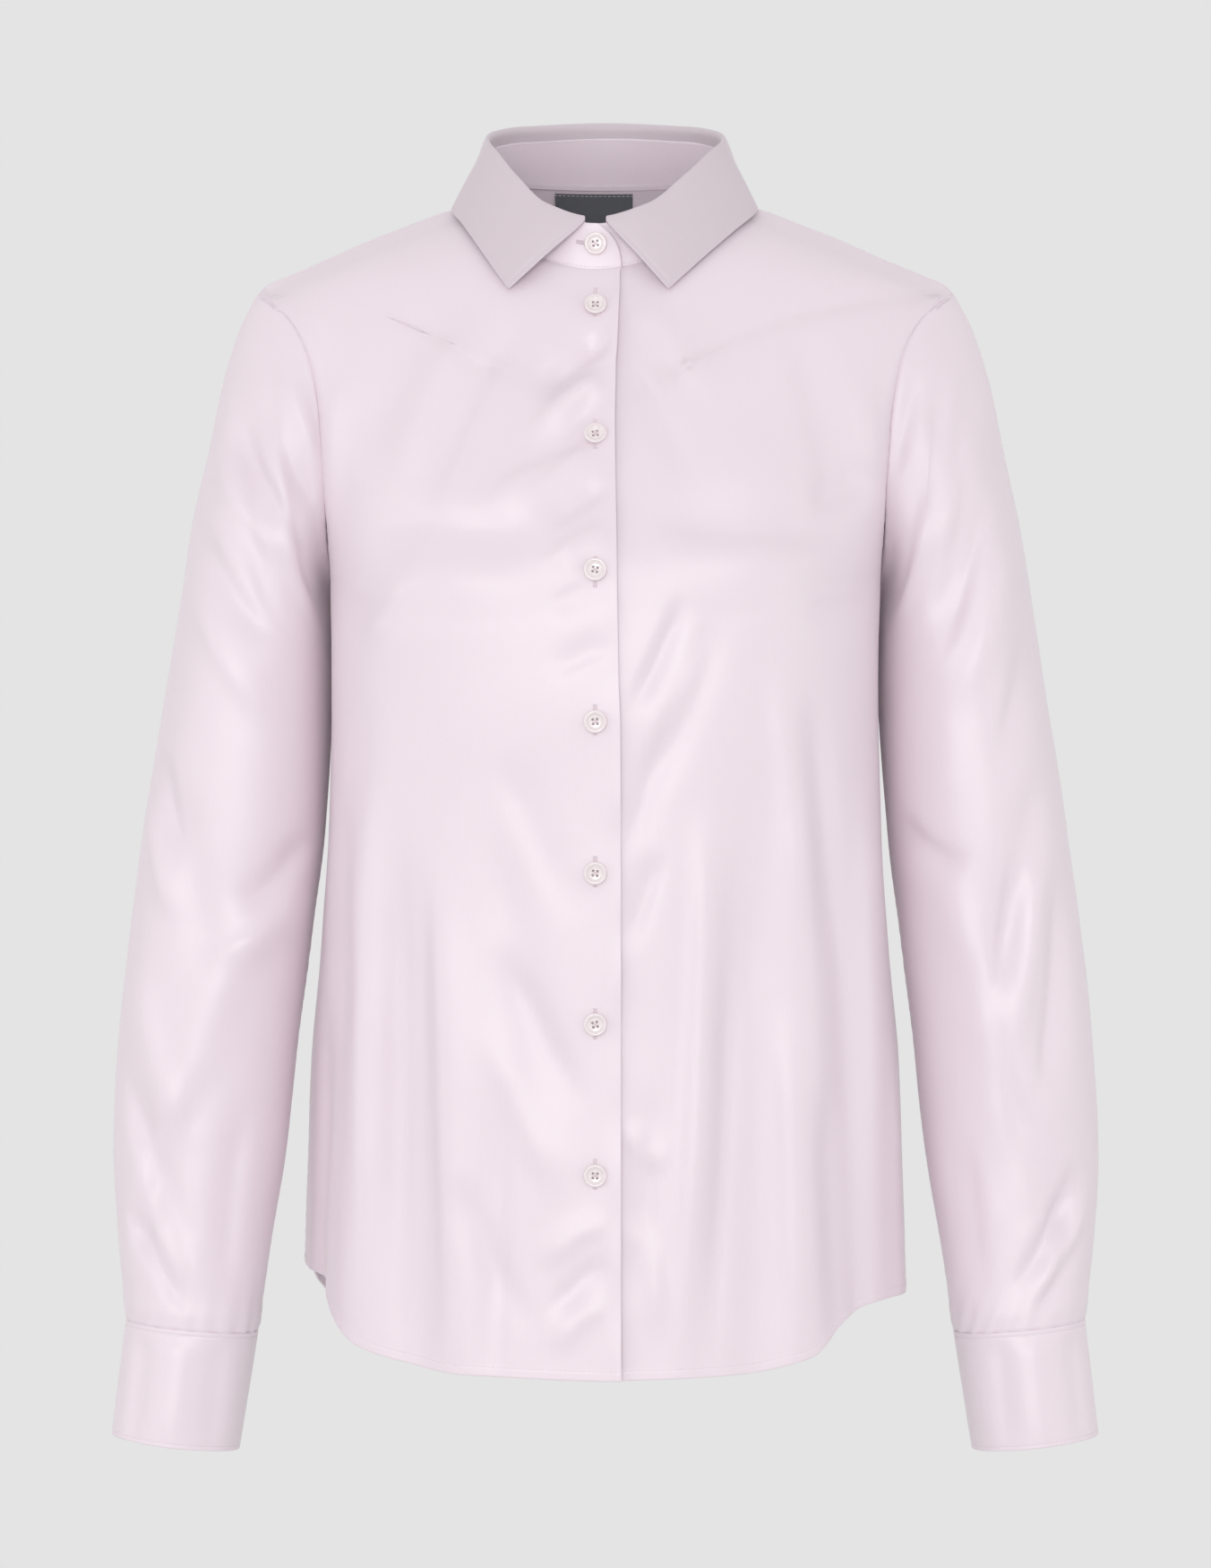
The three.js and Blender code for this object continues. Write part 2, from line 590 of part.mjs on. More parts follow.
const PLACKET_FIRST_RING = 9.9;
const PLACKET_LAST_RING = 11.98;
const PLACKET_HALF_TURN = 15;

function sleevePlacket(side) {
  const points = grid(5, 4, (down, round) => {
    const ring = lerp(PLACKET_FIRST_RING, PLACKET_LAST_RING, down);
    const turn = CUFF_OPENING_TURN + lerp(-PLACKET_HALF_TURN, PLACKET_HALF_TURN, round);
    return sleevePoint(ring, turn, (CLOTH + TRIM) / 2 + 2 * SEAM_GAP);
  });
  return wall(onSide(side, points), TRIM);
}

const CUFF_STEP = CUFF_CLOTH + 2 * SEAM_GAP;
const CUFF_LAP = { starts: 300, turns: 50 };

// The cuff is one band whose last stretch lies over its first, so it winds out a little as it goes round
function cuffPoint(down, turn, further = 0) {
  const wound = smooth((turn - CUFF_OPENING_TURN - CUFF_LAP.starts) / CUFF_LAP.turns);
  const middle = ringPoint(cuffTable, down, turn);
  const centre = ringPoint(cuffTable, down, 0).add(ringPoint(cuffTable, down, 180)).multiplyScalar(0.5);
  centre.y = cuffTable.middleY(down);
  const out = middle.clone().sub(centre).normalize();
  return middle.addScaledVector(out, wound * CUFF_STEP + further);
}

function cuff(side) {
  const first = CUFF_OPENING_TURN - CUFF_OVERLAP_TURN / 2;
  const points = grid(3, 28, (down, round) =>
    cuffPoint(down, first + (360 + CUFF_OVERLAP_TURN) * round),
  );
  return wall(onSide(side, points), CUFF_CLOTH);
}

for (const side of ["right", "left"]) {
  add(`sleeve_${side}`, sleeve(side));
  add(`sleeve_placket_${side}`, sleevePlacket(side));
  add(`cuff_${side}`, cuff(side));
}

// The collar's two ovals: the stand's top edge, and the roll line over which the fall turns down
const collarOvals = {
  stand: { halfWidth: 64, halfDepth: 52.5, middleY: -2.5 },
  roll: { halfWidth: 64.5, halfDepth: 54.5, middleY: -4 },
};

function collarPoint(turn, line) {
  const { halfWidth, halfDepth, middleY } = collarOvals[line];
  return new THREE.Vector3(
    halfWidth * sin(turn) + frontShift(turn),
    middleY - halfDepth * cos(turn),
    neckHeight(turn, line),
  );
}

function neckOutward(turn) {
  const { halfWidth, halfDepth } = collarOvals.stand;
  return new THREE.Vector3(sin(turn) / halfWidth, -cos(turn) / halfDepth, 0).normalize();
}

const STAND_LIFT = 1.2;
const STAND_END_TURN = 11;
const STAND_CORNER_TURN = 10;
const STAND_LAP = { starts: 25, turns: 20 };

// How far the stand lies off its middle line near the closing, where its right end lies over its left end
function standStep(turn) {
  const over = smooth((turn - 360 + STAND_LAP.starts) / STAND_LAP.turns);
  const under = smooth((STAND_LAP.starts - turn) / STAND_LAP.turns);
  return OVERLAP_STEP * (over - under);
}

function standPoint(turn, up, further = 0) {
  const { turn: place, z } = necklinePlace(turn);
  const foot = torsoPoint(place, z);
  foot.z += STAND_LIFT;
  const point = foot.lerp(collarPoint(turn, "stand"), up);
  return point.addScaledVector(neckOutward(turn), standStep(turn) + further);
}

function collarStand() {
  const points = grid(4, 32, (up, round) => {
    const first = -STAND_END_TURN + STAND_CORNER_TURN * up ** 3;
    return standPoint(lerp(first, 360 - first, round), up);
  });
  return wall(points, CLOTH);
}

const fallTurn = {
  right: smoothColumn(fallEdge, "turn", "right"),
  left: smoothColumn(fallEdge, "turn", "left"),
};
const fallHeight = smoothColumn(fallEdge, "turn", "z");

function fallEdgePoint(turn) {
  const half = turn > 180 ? 360 - turn : turn;
  const bodyTurn = turn > 180 ? -fallTurn.right(half) : fallTurn.left(half);
  const z = fallHeight(half);
  const point = torsoPoint(bodyTurn, z).addScaledVector(torsoNormal(bodyTurn, z), FALL_CLEARANCE);
  point.x += frontShift(turn);
  return point;
}

// One section of the fall: up from the stand, over the roll, and down to its free edge
function fallSection(turn) {
  const out = neckOutward(turn);
  const foot = collarPoint(turn, "stand");
  foot.z += CLOTH + 2 * SEAM_GAP;
  const roll = collarPoint(turn, "roll");
  const rollIn = roll.clone().addScaledVector(out, -ROLL_RADIUS);
  const crest = roll.clone();
  crest.z += ROLL_RADIUS;
  const rollOut = roll.clone().addScaledVector(out, ROLL_RADIUS);
  const edge = fallEdgePoint(turn);
  const middle = rollOut.clone().lerp(edge, 0.5).addScaledVector(out, FALL_BOW);
  return [foot, rollIn, crest, rollOut, middle, edge];
}

const FALL_COLUMNS = 42;
const FALL_ROWS = 9;

function collarFall() {
  const sections = Array.from({ length: FALL_COLUMNS + 1 }, (_, j) => {
    const turn = lerp(FALL_START, 360 - FALL_START, j / FALL_COLUMNS);
    const curve = new THREE.CatmullRomCurve3(fallSection(turn), false, "centripetal");
    return curve.getPoints(FALL_ROWS);
  });
  const points = sections[0].map((_, i) => sections.map((section) => section[i]));
  return wall(points, CLOTH);
}

add("collar_stand", collarStand());
add("collar_fall", collarFall());

// The label hangs inside the back neck from the stand's seam
const LABEL = { left: -28, right: 15, top: 9, drop: 34 };

function neckLabel() {
  const inwards = -(CLOTH + TRIM) / 2 - 2 * SEAM_GAP;
  const points = grid(4, 5, (up, across) => {
    const z = LABEL.top - LABEL.drop * (1 - up);
    const turn = turnAtWidth(z, lerp(LABEL.right, LABEL.left, across), true);
    return torsoPoint(turn, z).addScaledVector(torsoNormal(turn, z), inwards);
  });
  return wall(points, TRIM);
}

add("neck_label", neckLabel(), labelWeave);

// A four-hole shirt button with a raised rim, its back on the origin and its face towards +Y
const BUTTON_THICKNESS = 2.4;
const BUTTON_HOLE_RADIUS = 0.85;
const BUTTON_HOLE_FROM_MIDDLE = 1.55;

function solidOf(geometry) {
  const bare = geometry.clone();
  bare.deleteAttribute("normal");
  bare.deleteAttribute("uv");
  const merged = mergeVertices(bare, 1e-3);
  return new wasm.Manifold(
    new wasm.Mesh({
      numProp: 3,
      vertProperties: merged.attributes.position.array,
      triVerts: new Uint32Array(merged.index.array),
    }),
  );
}

function geometryOf(solid) {
  const mesh = solid.getMesh();
  const geometry = new THREE.BufferGeometry();
  geometry.setAttribute("position", new THREE.BufferAttribute(mesh.vertProperties, 3));
  geometry.setIndex(new THREE.BufferAttribute(mesh.triVerts, 1));
  geometry.computeVertexNormals();
  return geometry;
}

function buttonGeometry() {
  const profile = [
    new THREE.Vector2(0, 0),
    new THREE.Vector2(BUTTON_RADIUS - 1.1, 0),
    new THREE.Vector2(BUTTON_RADIUS, 0.9),
    new THREE.Vector2(BUTTON_RADIUS - 0.3, BUTTON_THICKNESS - 0.2),
    new THREE.Vector2(BUTTON_RADIUS - 1, BUTTON_THICKNESS),
    new THREE.Vector2(BUTTON_RADIUS - 1.9, BUTTON_THICKNESS - 0.9),
    new THREE.Vector2(0, BUTTON_THICKNESS - 1),
  ];
  let solid = solidOf(new THREE.LatheGeometry(profile, 14));
  for (const [x, z] of [[1, 1], [-1, 1], [-1, -1], [1, -1]]) {
    const hole = new THREE.CylinderGeometry(BUTTON_HOLE_RADIUS, BUTTON_HOLE_RADIUS, 8, 5);
    hole.translate(x * BUTTON_HOLE_FROM_MIDDLE * Math.SQRT1_2, 0, z * BUTTON_HOLE_FROM_MIDDLE * Math.SQRT1_2);
    solid = solid.subtract(solidOf(hole));
  }
  return geometryOf(solid);
}

const button = buttonGeometry();

// Sews a button on a surface, given as a function of how far off it the button's back lies
function addButton(name, place, nearbyAcross, nearbyUp) {
  const normal = nearbyAcross.clone().sub(place).cross(nearbyUp.clone().sub(place)).normalize();
  const mesh = add(name, button, shellButton);
  mesh.position.copy(place);
  mesh.quaternion.setFromUnitVectors(new THREE.Vector3(0, 1, 0), normal);
}

function closingPoint(z, x = BUTTON_LINE_X) {
  const turn = turnAtWidth(z, x);
  return torsoPoint(turn, z, closingStep("right", turn, z) + CLOTH / 2 + SEAM_GAP);
}

// Heights of the buttons, a pitch apart along the closing
function buttonHeights() {
  const heights = [FIRST_BUTTON_Z];
  let [z, walked] = [FIRST_BUTTON_Z, 0];
  while (heights.length < BUTTON_COUNT) {
    walked += closingPoint(z).distanceTo(closingPoint(z - 0.5));
    z -= 0.5;
    if (walked >= BUTTON_PITCH) {
      heights.push(z);
      walked = 0;
    }
  }
  return heights;
}

buttonHeights().forEach((z, i) =>
  addButton(`button_${i + 1}`, closingPoint(z), closingPoint(z, BUTTON_LINE_X + 3), closingPoint(z + 3)),
);

const standButton = (turn, up) => standPoint(360 + turn, up, CLOTH / 2 + SEAM_GAP);
addButton("button_stand", standButton(0, 0.55), standButton(3, 0.55), standButton(0, 0.7));

for (const side of ["right", "left"]) {
  const last = CUFF_OPENING_TURN + 360;
  const off = CUFF_CLOTH / 2 + SEAM_GAP;
  const places = [
    cuffPoint(0.5, last, off),
    cuffPoint(0.5, last + 3, off),
    cuffPoint(0.45, last, off),
  ];
  const [place, across, up] = onSide(side, [places])[0];
  addButton(`cuff_button_${side}`, place, side === "left" ? up : across, side === "left" ? across : up);
}

export default shirt;
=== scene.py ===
import math

import bmesh
import bpy
import numpy as np
from mathutils import Matrix, Vector


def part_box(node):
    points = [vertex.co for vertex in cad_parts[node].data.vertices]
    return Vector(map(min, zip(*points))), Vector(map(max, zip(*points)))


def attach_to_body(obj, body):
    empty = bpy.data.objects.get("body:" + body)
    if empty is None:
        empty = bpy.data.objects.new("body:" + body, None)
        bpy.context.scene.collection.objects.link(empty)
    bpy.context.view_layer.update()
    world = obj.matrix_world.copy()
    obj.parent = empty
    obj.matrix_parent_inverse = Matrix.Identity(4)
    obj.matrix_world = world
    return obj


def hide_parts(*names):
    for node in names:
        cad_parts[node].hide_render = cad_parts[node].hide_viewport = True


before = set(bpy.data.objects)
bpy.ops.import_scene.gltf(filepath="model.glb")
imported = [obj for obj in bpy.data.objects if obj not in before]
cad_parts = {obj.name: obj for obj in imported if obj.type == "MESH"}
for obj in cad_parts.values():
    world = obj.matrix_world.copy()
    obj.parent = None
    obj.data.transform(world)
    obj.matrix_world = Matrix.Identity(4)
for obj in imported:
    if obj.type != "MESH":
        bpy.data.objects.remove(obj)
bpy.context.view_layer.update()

bl_info = {
    "name": "Long sleeve dress shirt",
    "version": (1, 0, 0),
    "blender": (4, 5, 0),
    "location": "3D View > Sidebar > Shirt",
    "description": "Builds a long sleeve dress shirt, hollow and filled out as worn, piece by piece",
    "category": "Object",
}

# Lengths below are in millimetres, in the frame of the solids: +Z up, the front faces -Y, and the origin is
# midway between the neck ends of the shoulder lines. Meshes are made in metres.
MM = 0.001
SIDE_Y = 5.0
BUTTON_LINE_X = -5.4
CLOSING_HALF = 13.2
OVERLAP_STEP = 0.95
SHOULDER_TIP_Z = -51.0
UNDERARM_Z = -211.0
ARMHOLE_HALF_DEPTH = 56.0
ARMHOLE_SQUARENESS = 2.2
NECK_HALF_WIDTH = 70.0
CUFF_OPENING_TURN = 300.0
CUFF_OVERLAP_TURN = 28.0

# Torso sections: height, half width at the side line, depth before it, depth behind it, squareness
TORSO_SECTIONS = (
    (-680, 165, 129, 124, 2.2),
    (-584, 163.5, 128, 121, 2.2),
    (-500, 161, 128, 116, 2.25),
    (-420, 157.5, 130, 111, 2.3),
    (-340, 154.5, 133, 107, 2.35),
    (-270, 153, 136.5, 107, 2.4),
    (-212, 153, 136, 110, 2.4),
    (-170, 158, 121.5, 109, 2.4),
    (-130, 170, 102, 103, 2.4),
    (-101, 181, 88, 96, 2.4),
    (-75, 188.5, 75.5, 87, 2.35),
    (-54, 191, 65, 79, 2.3),
    (-48, 186, 62, 77, 2.3),
    (-40, 169, 58, 74, 2.25),
    (-28, 140, 50, 69, 2.2),
    (-11, 98, 35, 62.5, 2.15),
    (0, 70, 25, 58, 2.1),
    (13, 63, 20, 52, 2.1),
)

# Height of the front hem, by the turn from the middle to the side seam: turn, right half, left half
HEM_ROWS = (
    (0, -630, -630),
    (25, -627.5, -627.5),
    (38, -623.5, -620.5),
    (50, -616, -603),
    (60, -602, -595),
    (72, -583, -592.5),
    (90, -577, -591),
)
BACK_HEM_ROWS = (
    (0, -645, -645),
    (30, -642, -642),
    (45, -633, -628),
    (58, -616, -607),
    (70, -594, -598),
    (80, -582, -594.5),
    (90, -577, -591),
)

# Heights round the neck, by the turn from the button line: neck seam, top of the stand, roll of the fall
NECK_ROWS = (
    (0, -44, -19, -18),
    (25, -38.5, -12, -10),
    (45, -27.8, 2.5, 6.5),
    (65, -14.6, 16, 21.4),
    (90, 0, 25, 31),
    (115, 8.9, 31, 37.5),
    (135, 11.6, 34.8, 41.2),
    (180, 11.6, 38.6, 45),
)

# How deep the hanging arm presses the side of the body in, by height
ARM_PRESS = (
    (-680, 0), (-470, 0), (-400, 5), (-330, 10), (-260, 12), (-212, 12), (-180, 6), (-140, 0), (20, 0),
)
ARM_PRESS_HALF = 32.0

CHEST_TURN, CHEST_Z = 36.0, -208.0
CHEST_HALF_TURN, CHEST_HALF_HEIGHT = 21.0, 58.0
CHEST_DEPTH = 7.0

# Large folds of the body: turn and height of the top, turn and height of the end, half turn, depth
TORSO_FOLDS = (
    (-47, -260, -56, -700, 6.5, 4.5),
    (-37, -330, -37, -700, 6, -5.5),
    (-24, -380, -25, -700, 6, 3.5),
    (-19, -330, -7, -520, 4.5, -2.5),
    (-70, -420, -73, -700, 5, -5),
    (18, -225, 5, -330, 4, -2.5),
    (24, -300, 27, -700, 5.5, -5),
    (37, -260, 41, -700, 6, 5),
    (50, -330, 57, -700, 6, -5),
    (72, -430, 75, -700, 5, 3),
    (112, -200, 114, -700, 7, -5),
    (132, -240, 131, -700, 7, 4.5),
    (150, -200, 148, -700, 7, -5),
    (171, -300, 170, -700, 7, 4),
    (-169, -200, -166, -700, 6.5, -4.5),
    (-148, -280, -147, -700, 7, 4.5),
    (-128, -210, -130, -700, 7, -5.5),
    (-110, -330, -110, -700, 6.5, 4),
)

# Rings of a sleeve: outer x and z, inner x and z, half depth, middle y
SLEEVE_RINGS = (
    (191, -51, 141, -211, 56, 5),
    (201, -72, 145, -214.5, 58, 4),
    (209.5, -100, 147, -218.5, 60, 3),
    (216, -133, 147.5, -224, 60.5, 2),
    (224, -172, 147.5, -233, 60.5, 0),
    (232, -225, 147.5, -252, 60, -2),
    (242, -287, 149, -294, 58, -5),
    (250.5, -341, 152.5, -344, 55, -8),
    (257.5, -398, 159.5, -400, 50, -11),
    (263, -452, 166.5, -453, 46, -14),
    (266, -512, 172.5, -514, 42, -18),
    (263.5, -561, 180.5, -565, 39, -22),
    (258.5, -607, 188, -613.5, 36, -26),
)
CUFF_RINGS = (
    (258.5, -607.5, 188, -614, 36, -26),
    (265.5, -668, 198, -676, 35.5, -30),
)
LAST_RING = len(SLEEVE_RINGS) - 1
SLEEVE_BLEND_RINGS = 5.0

# Large folds of a sleeve: turn and ring of the start, turn and ring of the end, half turn, depth
SLEEVE_FOLDS = (
    (28, 1.5, 118, 5.2, 15, -3.5),
    (62, 1.2, 140, 4.5, 13, 3),
    (45, 6.3, 95, 8.6, 14, -3.5),
    (120, 7.2, 60, 10.6, 16, 3.5),
    (95, 9.2, 40, 11.4, 13, -3.5),
    (330, 2, 240, 5.5, 16, -3.5),
    (300, 6.5, 250, 9.5, 16, 3.5),
    (255, 8.5, 275, 11.5, 14, -3),
)

# The fall's free edge: neck turn, body turn on the right, on the left, height
FALL_EDGE = (
    (5.5, 11.2, 9.2, -55.5),
    (30, 17, 17, -39.5),
    (60, 40, 40, -17.5),
    (90, 90, 90, -2),
    (130, 128, 128, 0),
    (180, 180, 180, 2),
)
FALL_START, FALL_CORNER = 5.5, 60.0
FALL_CLEARANCE = 3.4
FALL_BOW = 1.2
ROLL_RADIUS = 1.3
COLLAR_OVALS = {"stand": (64.0, 52.5, -2.5), "roll": (64.5, 54.5, -4.0)}
STAND_END_TURN, STAND_CORNER_TURN = 11.0, 10.0
STAND_LAP_STARTS, STAND_LAP_TURNS = 25.0, 20.0

# Creases seen on one face: start, middle and end as x and z, half width, and depth, below zero for a trough
FRONT_CREASES = (
    ((-140, -180), (-84, -184), (-20, -190), 15, -3.2),
    ((16, -176), (72, -183), (146, -182), 15, -3.2),
    ((5, -82), (-14, -94), (-38, -118), 7, -3.6),
    ((2, -104), (-18, -113), (-44, -140), 7, 2.8),
    ((4, -126), (-16, -138), (-50, -170), 8, -2.4),
    ((4, -142), (-30, -152), (-70, -178), 9, 2.4),
    ((4, -162), (-14, -172), (-34, -186), 7, -2.0),
    ((4, -184), (-14, -192), (-34, -206), 7, 1.8),
    ((-46, -70), (-74, -118), (-104, -190), 10, -2.4),
    ((-66, -64), (-92, -112), (-116, -176), 12, 2.2),
    ((-96, -60), (-112, -106), (-132, -150), 11, -1.6),
    ((4, -212), (-14, -218), (-34, -232), 7, -1.1),
    ((4, -246), (-12, -252), (-30, -264), 7, -1.0),
    ((-56, -300), (-38, -344), (-14, -396), 10, -1.3),
    ((-60, -400), (-34, -444), (-12, -494), 9, -2.2),
    ((-66, -440), (-44, -490), (-22, -540), 10, 1.5),
    ((-78, -520), (-62, -560), (-36, -612), 8, -1.6),
    ((-128, -246), (-112, -226), (-98, -200), 8, 1.9),
    ((4, -548), (-16, -556), (-34, -574), 6, 1.5),
    ((4, -566), (-14, -578), (-30, -600), 6, -1.7),
    ((3, -590), (-14, -600), (-26, -618), 6, 1.3),
    ((-134, -300), (-128, -440), (-130, -660), 9, 2.2),
    ((-110, -330), (-108, -460), (-110, -660), 8, -2.4),
    ((-88, -350), (-84, -470), (-80, -660), 8, 2.6),
    ((-56, -470), (-56, -560), (-60, -660), 8, -1.7),
    ((41, -218), (28, -250), (11, -286), 5, -2.3),
    ((54, -236), (38, -276), (18, -318), 7.5, 1.5),
    ((43, -268), (24, -311), (10, -362), 6.5, -1.7),
    ((30, -352), (21, -378), (11, -410), 5.5, -1.6),
    ((50, -330), (49, -450), (36, -660), 8, 3.0),
    ((64, -400), (64, -500), (52, -660), 7, -2.6),
    ((88, -240), (96, -320), (104, -400), 9, 2.2),
    ((106, -260), (116, -340), (124, -440), 8, -2.4),
    ((92, -430), (98, -520), (100, -660), 9, 2.2),
    ((114, -470), (120, -540), (124, -660), 8, -2.0),
    ((136, -300), (140, -420), (142, -560), 8, 1.7),
    ((26, -470), (22, -540), (16, -600), 7, -1.6),
    ((12, -492), (20, -510), (34, -520), 6, 1.4),
    ((12, -540), (24, -570), (30, -612), 6, 1.3),
    ((12, -64), (34, -84), (64, -126), 9, 1.6),
    ((10, -96), (30, -124), (50, -170), 8, -1.5),
    ((100, -70), (112, -120), (128, -180), 11, -1.5),
    ((148, -146), (128, -162), (104, -170), 12, -2.6),
    ((132, -96), (140, -140), (140, -190), 8, 1.5),
    ((-136, -92), (-146, -140), (-146, -196), 8, 1.5),
    ((146, -214), (126, -226), (100, -222), 9, -1.2),
    ((-148, -212), (-128, -226), (-104, -222), 9, -1.0),
)
BACK_CREASES = (
    ((-138, -216), (-112, -236), (-70, -246), 7, -2.2),
    ((-140, -196), (-108, -206), (-64, -214), 8, 1.8),
    ((139, -218), (110, -240), (62, -252), 7.5, -2.1),
    ((141, -194), (112, -202), (72, -208), 8, 1.7),
    ((-150, -90), (-136, -140), (-134, -196), 8, -1.8),
    ((148, -94), (138, -142), (136, -200), 8, -1.9),
    ((-72, -70), (-78, -130), (-66, -204), 12, 1.6),
    ((64, -74), (72, -136), (58, -196), 11, 1.7),
    ((-20, -60), (-14, -110), (-22, -180), 9, -1.3),
    ((-96, -300), (-82, -380), (-90, -470), 7, -1.8),
    ((-70, -340), (-64, -420), (-56, -540), 8, 1.7),
    ((88, -290), (76, -360), (84, -450), 7, -1.9),
    ((66, -360), (60, -450), (64, -560), 8, 1.6),
    ((-30, -320), (-24, -400), (-34, -500), 7, -1.5),
    ((24, -380), (30, -460), (22, -580), 7, -1.6),
    ((-2, -280), (4, -360), (-4, -430), 9, 1.4),
    ((-110, -480), (-104, -540), (-112, -610), 7, 1.7),
    ((104, -500), (110, -560), (104, -620), 7, 1.6),
    ((-44, -560), (-38, -600), (-42, -640), 7, -1.5),
    ((46, -570), (52, -604), (44, -638), 7, -1.4),
    ((-118, -262), (-84, -280), (-40, -276), 8, 1.4),
    ((112, -268), (72, -290), (30, -284), 8, 1.3),
)
SLEEVE_CREASES_FRONT = {
    "right": (
        ((-203, -120), (-186, -152), (-164, -190), 6.5, -2.8),
        ((-212, -132), (-194, -168), (-168, -206), 8, 2.2),
        ((-186, -104), (-172, -138), (-152, -178), 5.5, -2.0),
        ((-176, -92), (-164, -120), (-150, -152), 5.5, 1.6),
        ((-222, -170), (-204, -208), (-170, -252), 7.5, -2.2),
        ((-226, -206), (-206, -246), (-178, -292), 9, 1.8),
        ((-239, -296), (-234, -328), (-224, -366), 6, -2.4),
        ((-246, -318), (-240, -360), (-226, -400), 7.5, 1.8),
        ((-158, -338), (-174, -368), (-204, -388), 7, -2.6),
        ((-162, -366), (-182, -396), (-214, -414), 8.5, 2.0),
        ((-252, -410), (-238, -470), (-214, -520), 8.5, 1.9),
        ((-260, -462), (-240, -530), (-218, -596), 6.5, -2.6),
        ((-252, -500), (-232, -552), (-208, -598), 8, 1.8),
        ((-258, -540), (-240, -574), (-222, -604), 5, -2.0),
        ((-190, -480), (-200, -540), (-202, -600), 8, -1.7),
    ),
    "left": (
        ((182, -96), (176, -140), (166, -190), 6, -2.6),
        ((196, -110), (188, -156), (172, -206), 8, 2.2),
        ((204, -160), (194, -206), (176, -258), 6.5, -2.8),
        ((216, -176), (206, -226), (186, -284), 9, 2.1),
        ((170, -92), (162, -124), (152, -160), 5.5, -1.6),
        ((228, -226), (220, -270), (208, -312), 8, -1.7),
        ((156, -330), (172, -352), (198, -362), 7, -2.0),
        ((218, -352), (214, -396), (206, -444), 6, -2.2),
        ((230, -350), (226, -410), (216, -476), 8, 2.0),
        ((243, -352), (240, -424), (230, -500), 6.5, -2.2),
        ((196, -420), (206, -470), (214, -530), 8, 1.7),
        ((254, -516), (238, -556), (214, -594), 6, -2.8),
        ((259, -536), (246, -568), (226, -600), 5.5, 1.8),
        ((248, -560), (240, -584), (226, -606), 4.5, -1.8),
        ((190, -500), (196, -548), (200, -598), 8, -1.6),
    ),
}
SLEEVE_CREASES_BACK = {
    "right": (
        ((-204, -112), (-182, -150), (-158, -196), 7, -2.6),
        ((-214, -140), (-194, -184), (-164, -226), 8.5, 2.1),
        ((-240, -300), (-214, -334), (-168, -352), 7, -2.7),
        ((-246, -330), (-220, -362), (-172, -382), 8, 2.2),
        ((-248, -368), (-222, -396), (-176, -410), 7, -2.4),
        ((-256, -430), (-236, -480), (-222, -550), 8, 1.8),
        ((-236, -540), (-232, -574), (-230, -606), 4.5, -2.4),
        ((-224, -530), (-221, -570), (-219, -608), 4.5, 2.0),
        ((-212, -548), (-210, -578), (-209, -609), 4.5, -2.2),
        ((-190, -440), (-196, -500), (-204, -560), 8, -1.7),
    ),
    "left": (
        ((206, -108), (186, -148), (160, -190), 7, -2.4),
        ((216, -146), (194, -190), (166, -232), 8.5, 2.2),
        ((242, -296), (210, -326), (166, -342), 7, -2.5),
        ((247, -336), (218, -372), (174, -388), 8, 2.3),
        ((250, -380), (226, -408), (182, -420), 7, -2.2),
        ((254, -440), (240, -500), (228, -556), 8, 1.7),
        ((238, -536), (234, -572), (231, -606), 4.5, -2.3),
        ((226, -534), (223, -572), (220, -608), 4.5, 2.0),
        ((213, -544), (211, -576), (210, -609), 4.5, -2.1),
        ((192, -450), (198, -510), (206, -566), 8, -1.6),
    ),
}
CUFF_CREASES = {
    "right": (
        ((-226, -596), (-230, -640), (-236, -690), 9, 1.3),
        ((-246, -600), (-250, -640), (-256, -690), 6, -1.2),
        ((-206, -604), (-209, -645), (-214, -690), 7, -1.1),
    ),
    "left": (
        ((226, -596), (229, -640), (234, -690), 9, 1.3),
        ((209, -600), (212, -640), (217, -690), 6, -1.2),
        ((248, -600), (252, -640), (257, -690), 6, -1.1),
    ),
}

# Where the free edge of the right front lies, by height
FREE_EDGE = (
    (-640, 7.8), (-400, 7.8), (-290, 7.4), (-265, 6.6), (-171, 5.2), (-124, 4.7), (-71, 6.5), (-44, 7.8),
)


def sin(turn):
    return np.sin(np.radians(turn))


def cos(turn):
    return np.cos(np.radians(turn))


def mix(start, end, share):
    return start + (end - start) * share


def ease(share):
    share = np.clip(share, 0.0, 1.0)
    return share * share * (3.0 - 2.0 * share)


def signed_power(value, power):
    return np.sign(value) * np.abs(value) ** power


def unit(vectors):
    return vectors / np.linalg.norm(vectors, axis=-1, keepdims=True)


def smooth_curve(at, value):
    """A smooth function through the given values, which never overshoots them."""
    at, value = np.asarray(at, float), np.asarray(value, float)
    span = np.diff(at)
    rise = np.diff(value) / span
    product, total = rise[:-1] * rise[1:], rise[:-1] + rise[1:]
    bends = product > 0
    inner = np.where(bends, 2 * product / np.where(bends, total, 1.0), 0.0)
    slope = np.concatenate([rise[:1], inner, rise[-1:]])

    def curve(x):
        i = np.clip(np.searchsorted(at, x) - 1, 0, len(at) - 2)
        t = np.clip((x - at[i]) / span[i], 0.0, 1.0)
        t2, t3 = t * t, t * t * t
        return (
            value[i] * (2 * t3 - 3 * t2 + 1)
            + value[i + 1] * (3 * t2 - 2 * t3)
            + span[i] * (slope[i] * (t3 - 2 * t2 + t) + slope[i + 1] * (t3 - t2))
        )

    return curve


def curves(rows):
    """One smooth function of the first column of a table for each of its other columns."""
    columns = np.asarray(rows, float).T
    return [smooth_curve(columns[0], column) for column in columns[1:]]


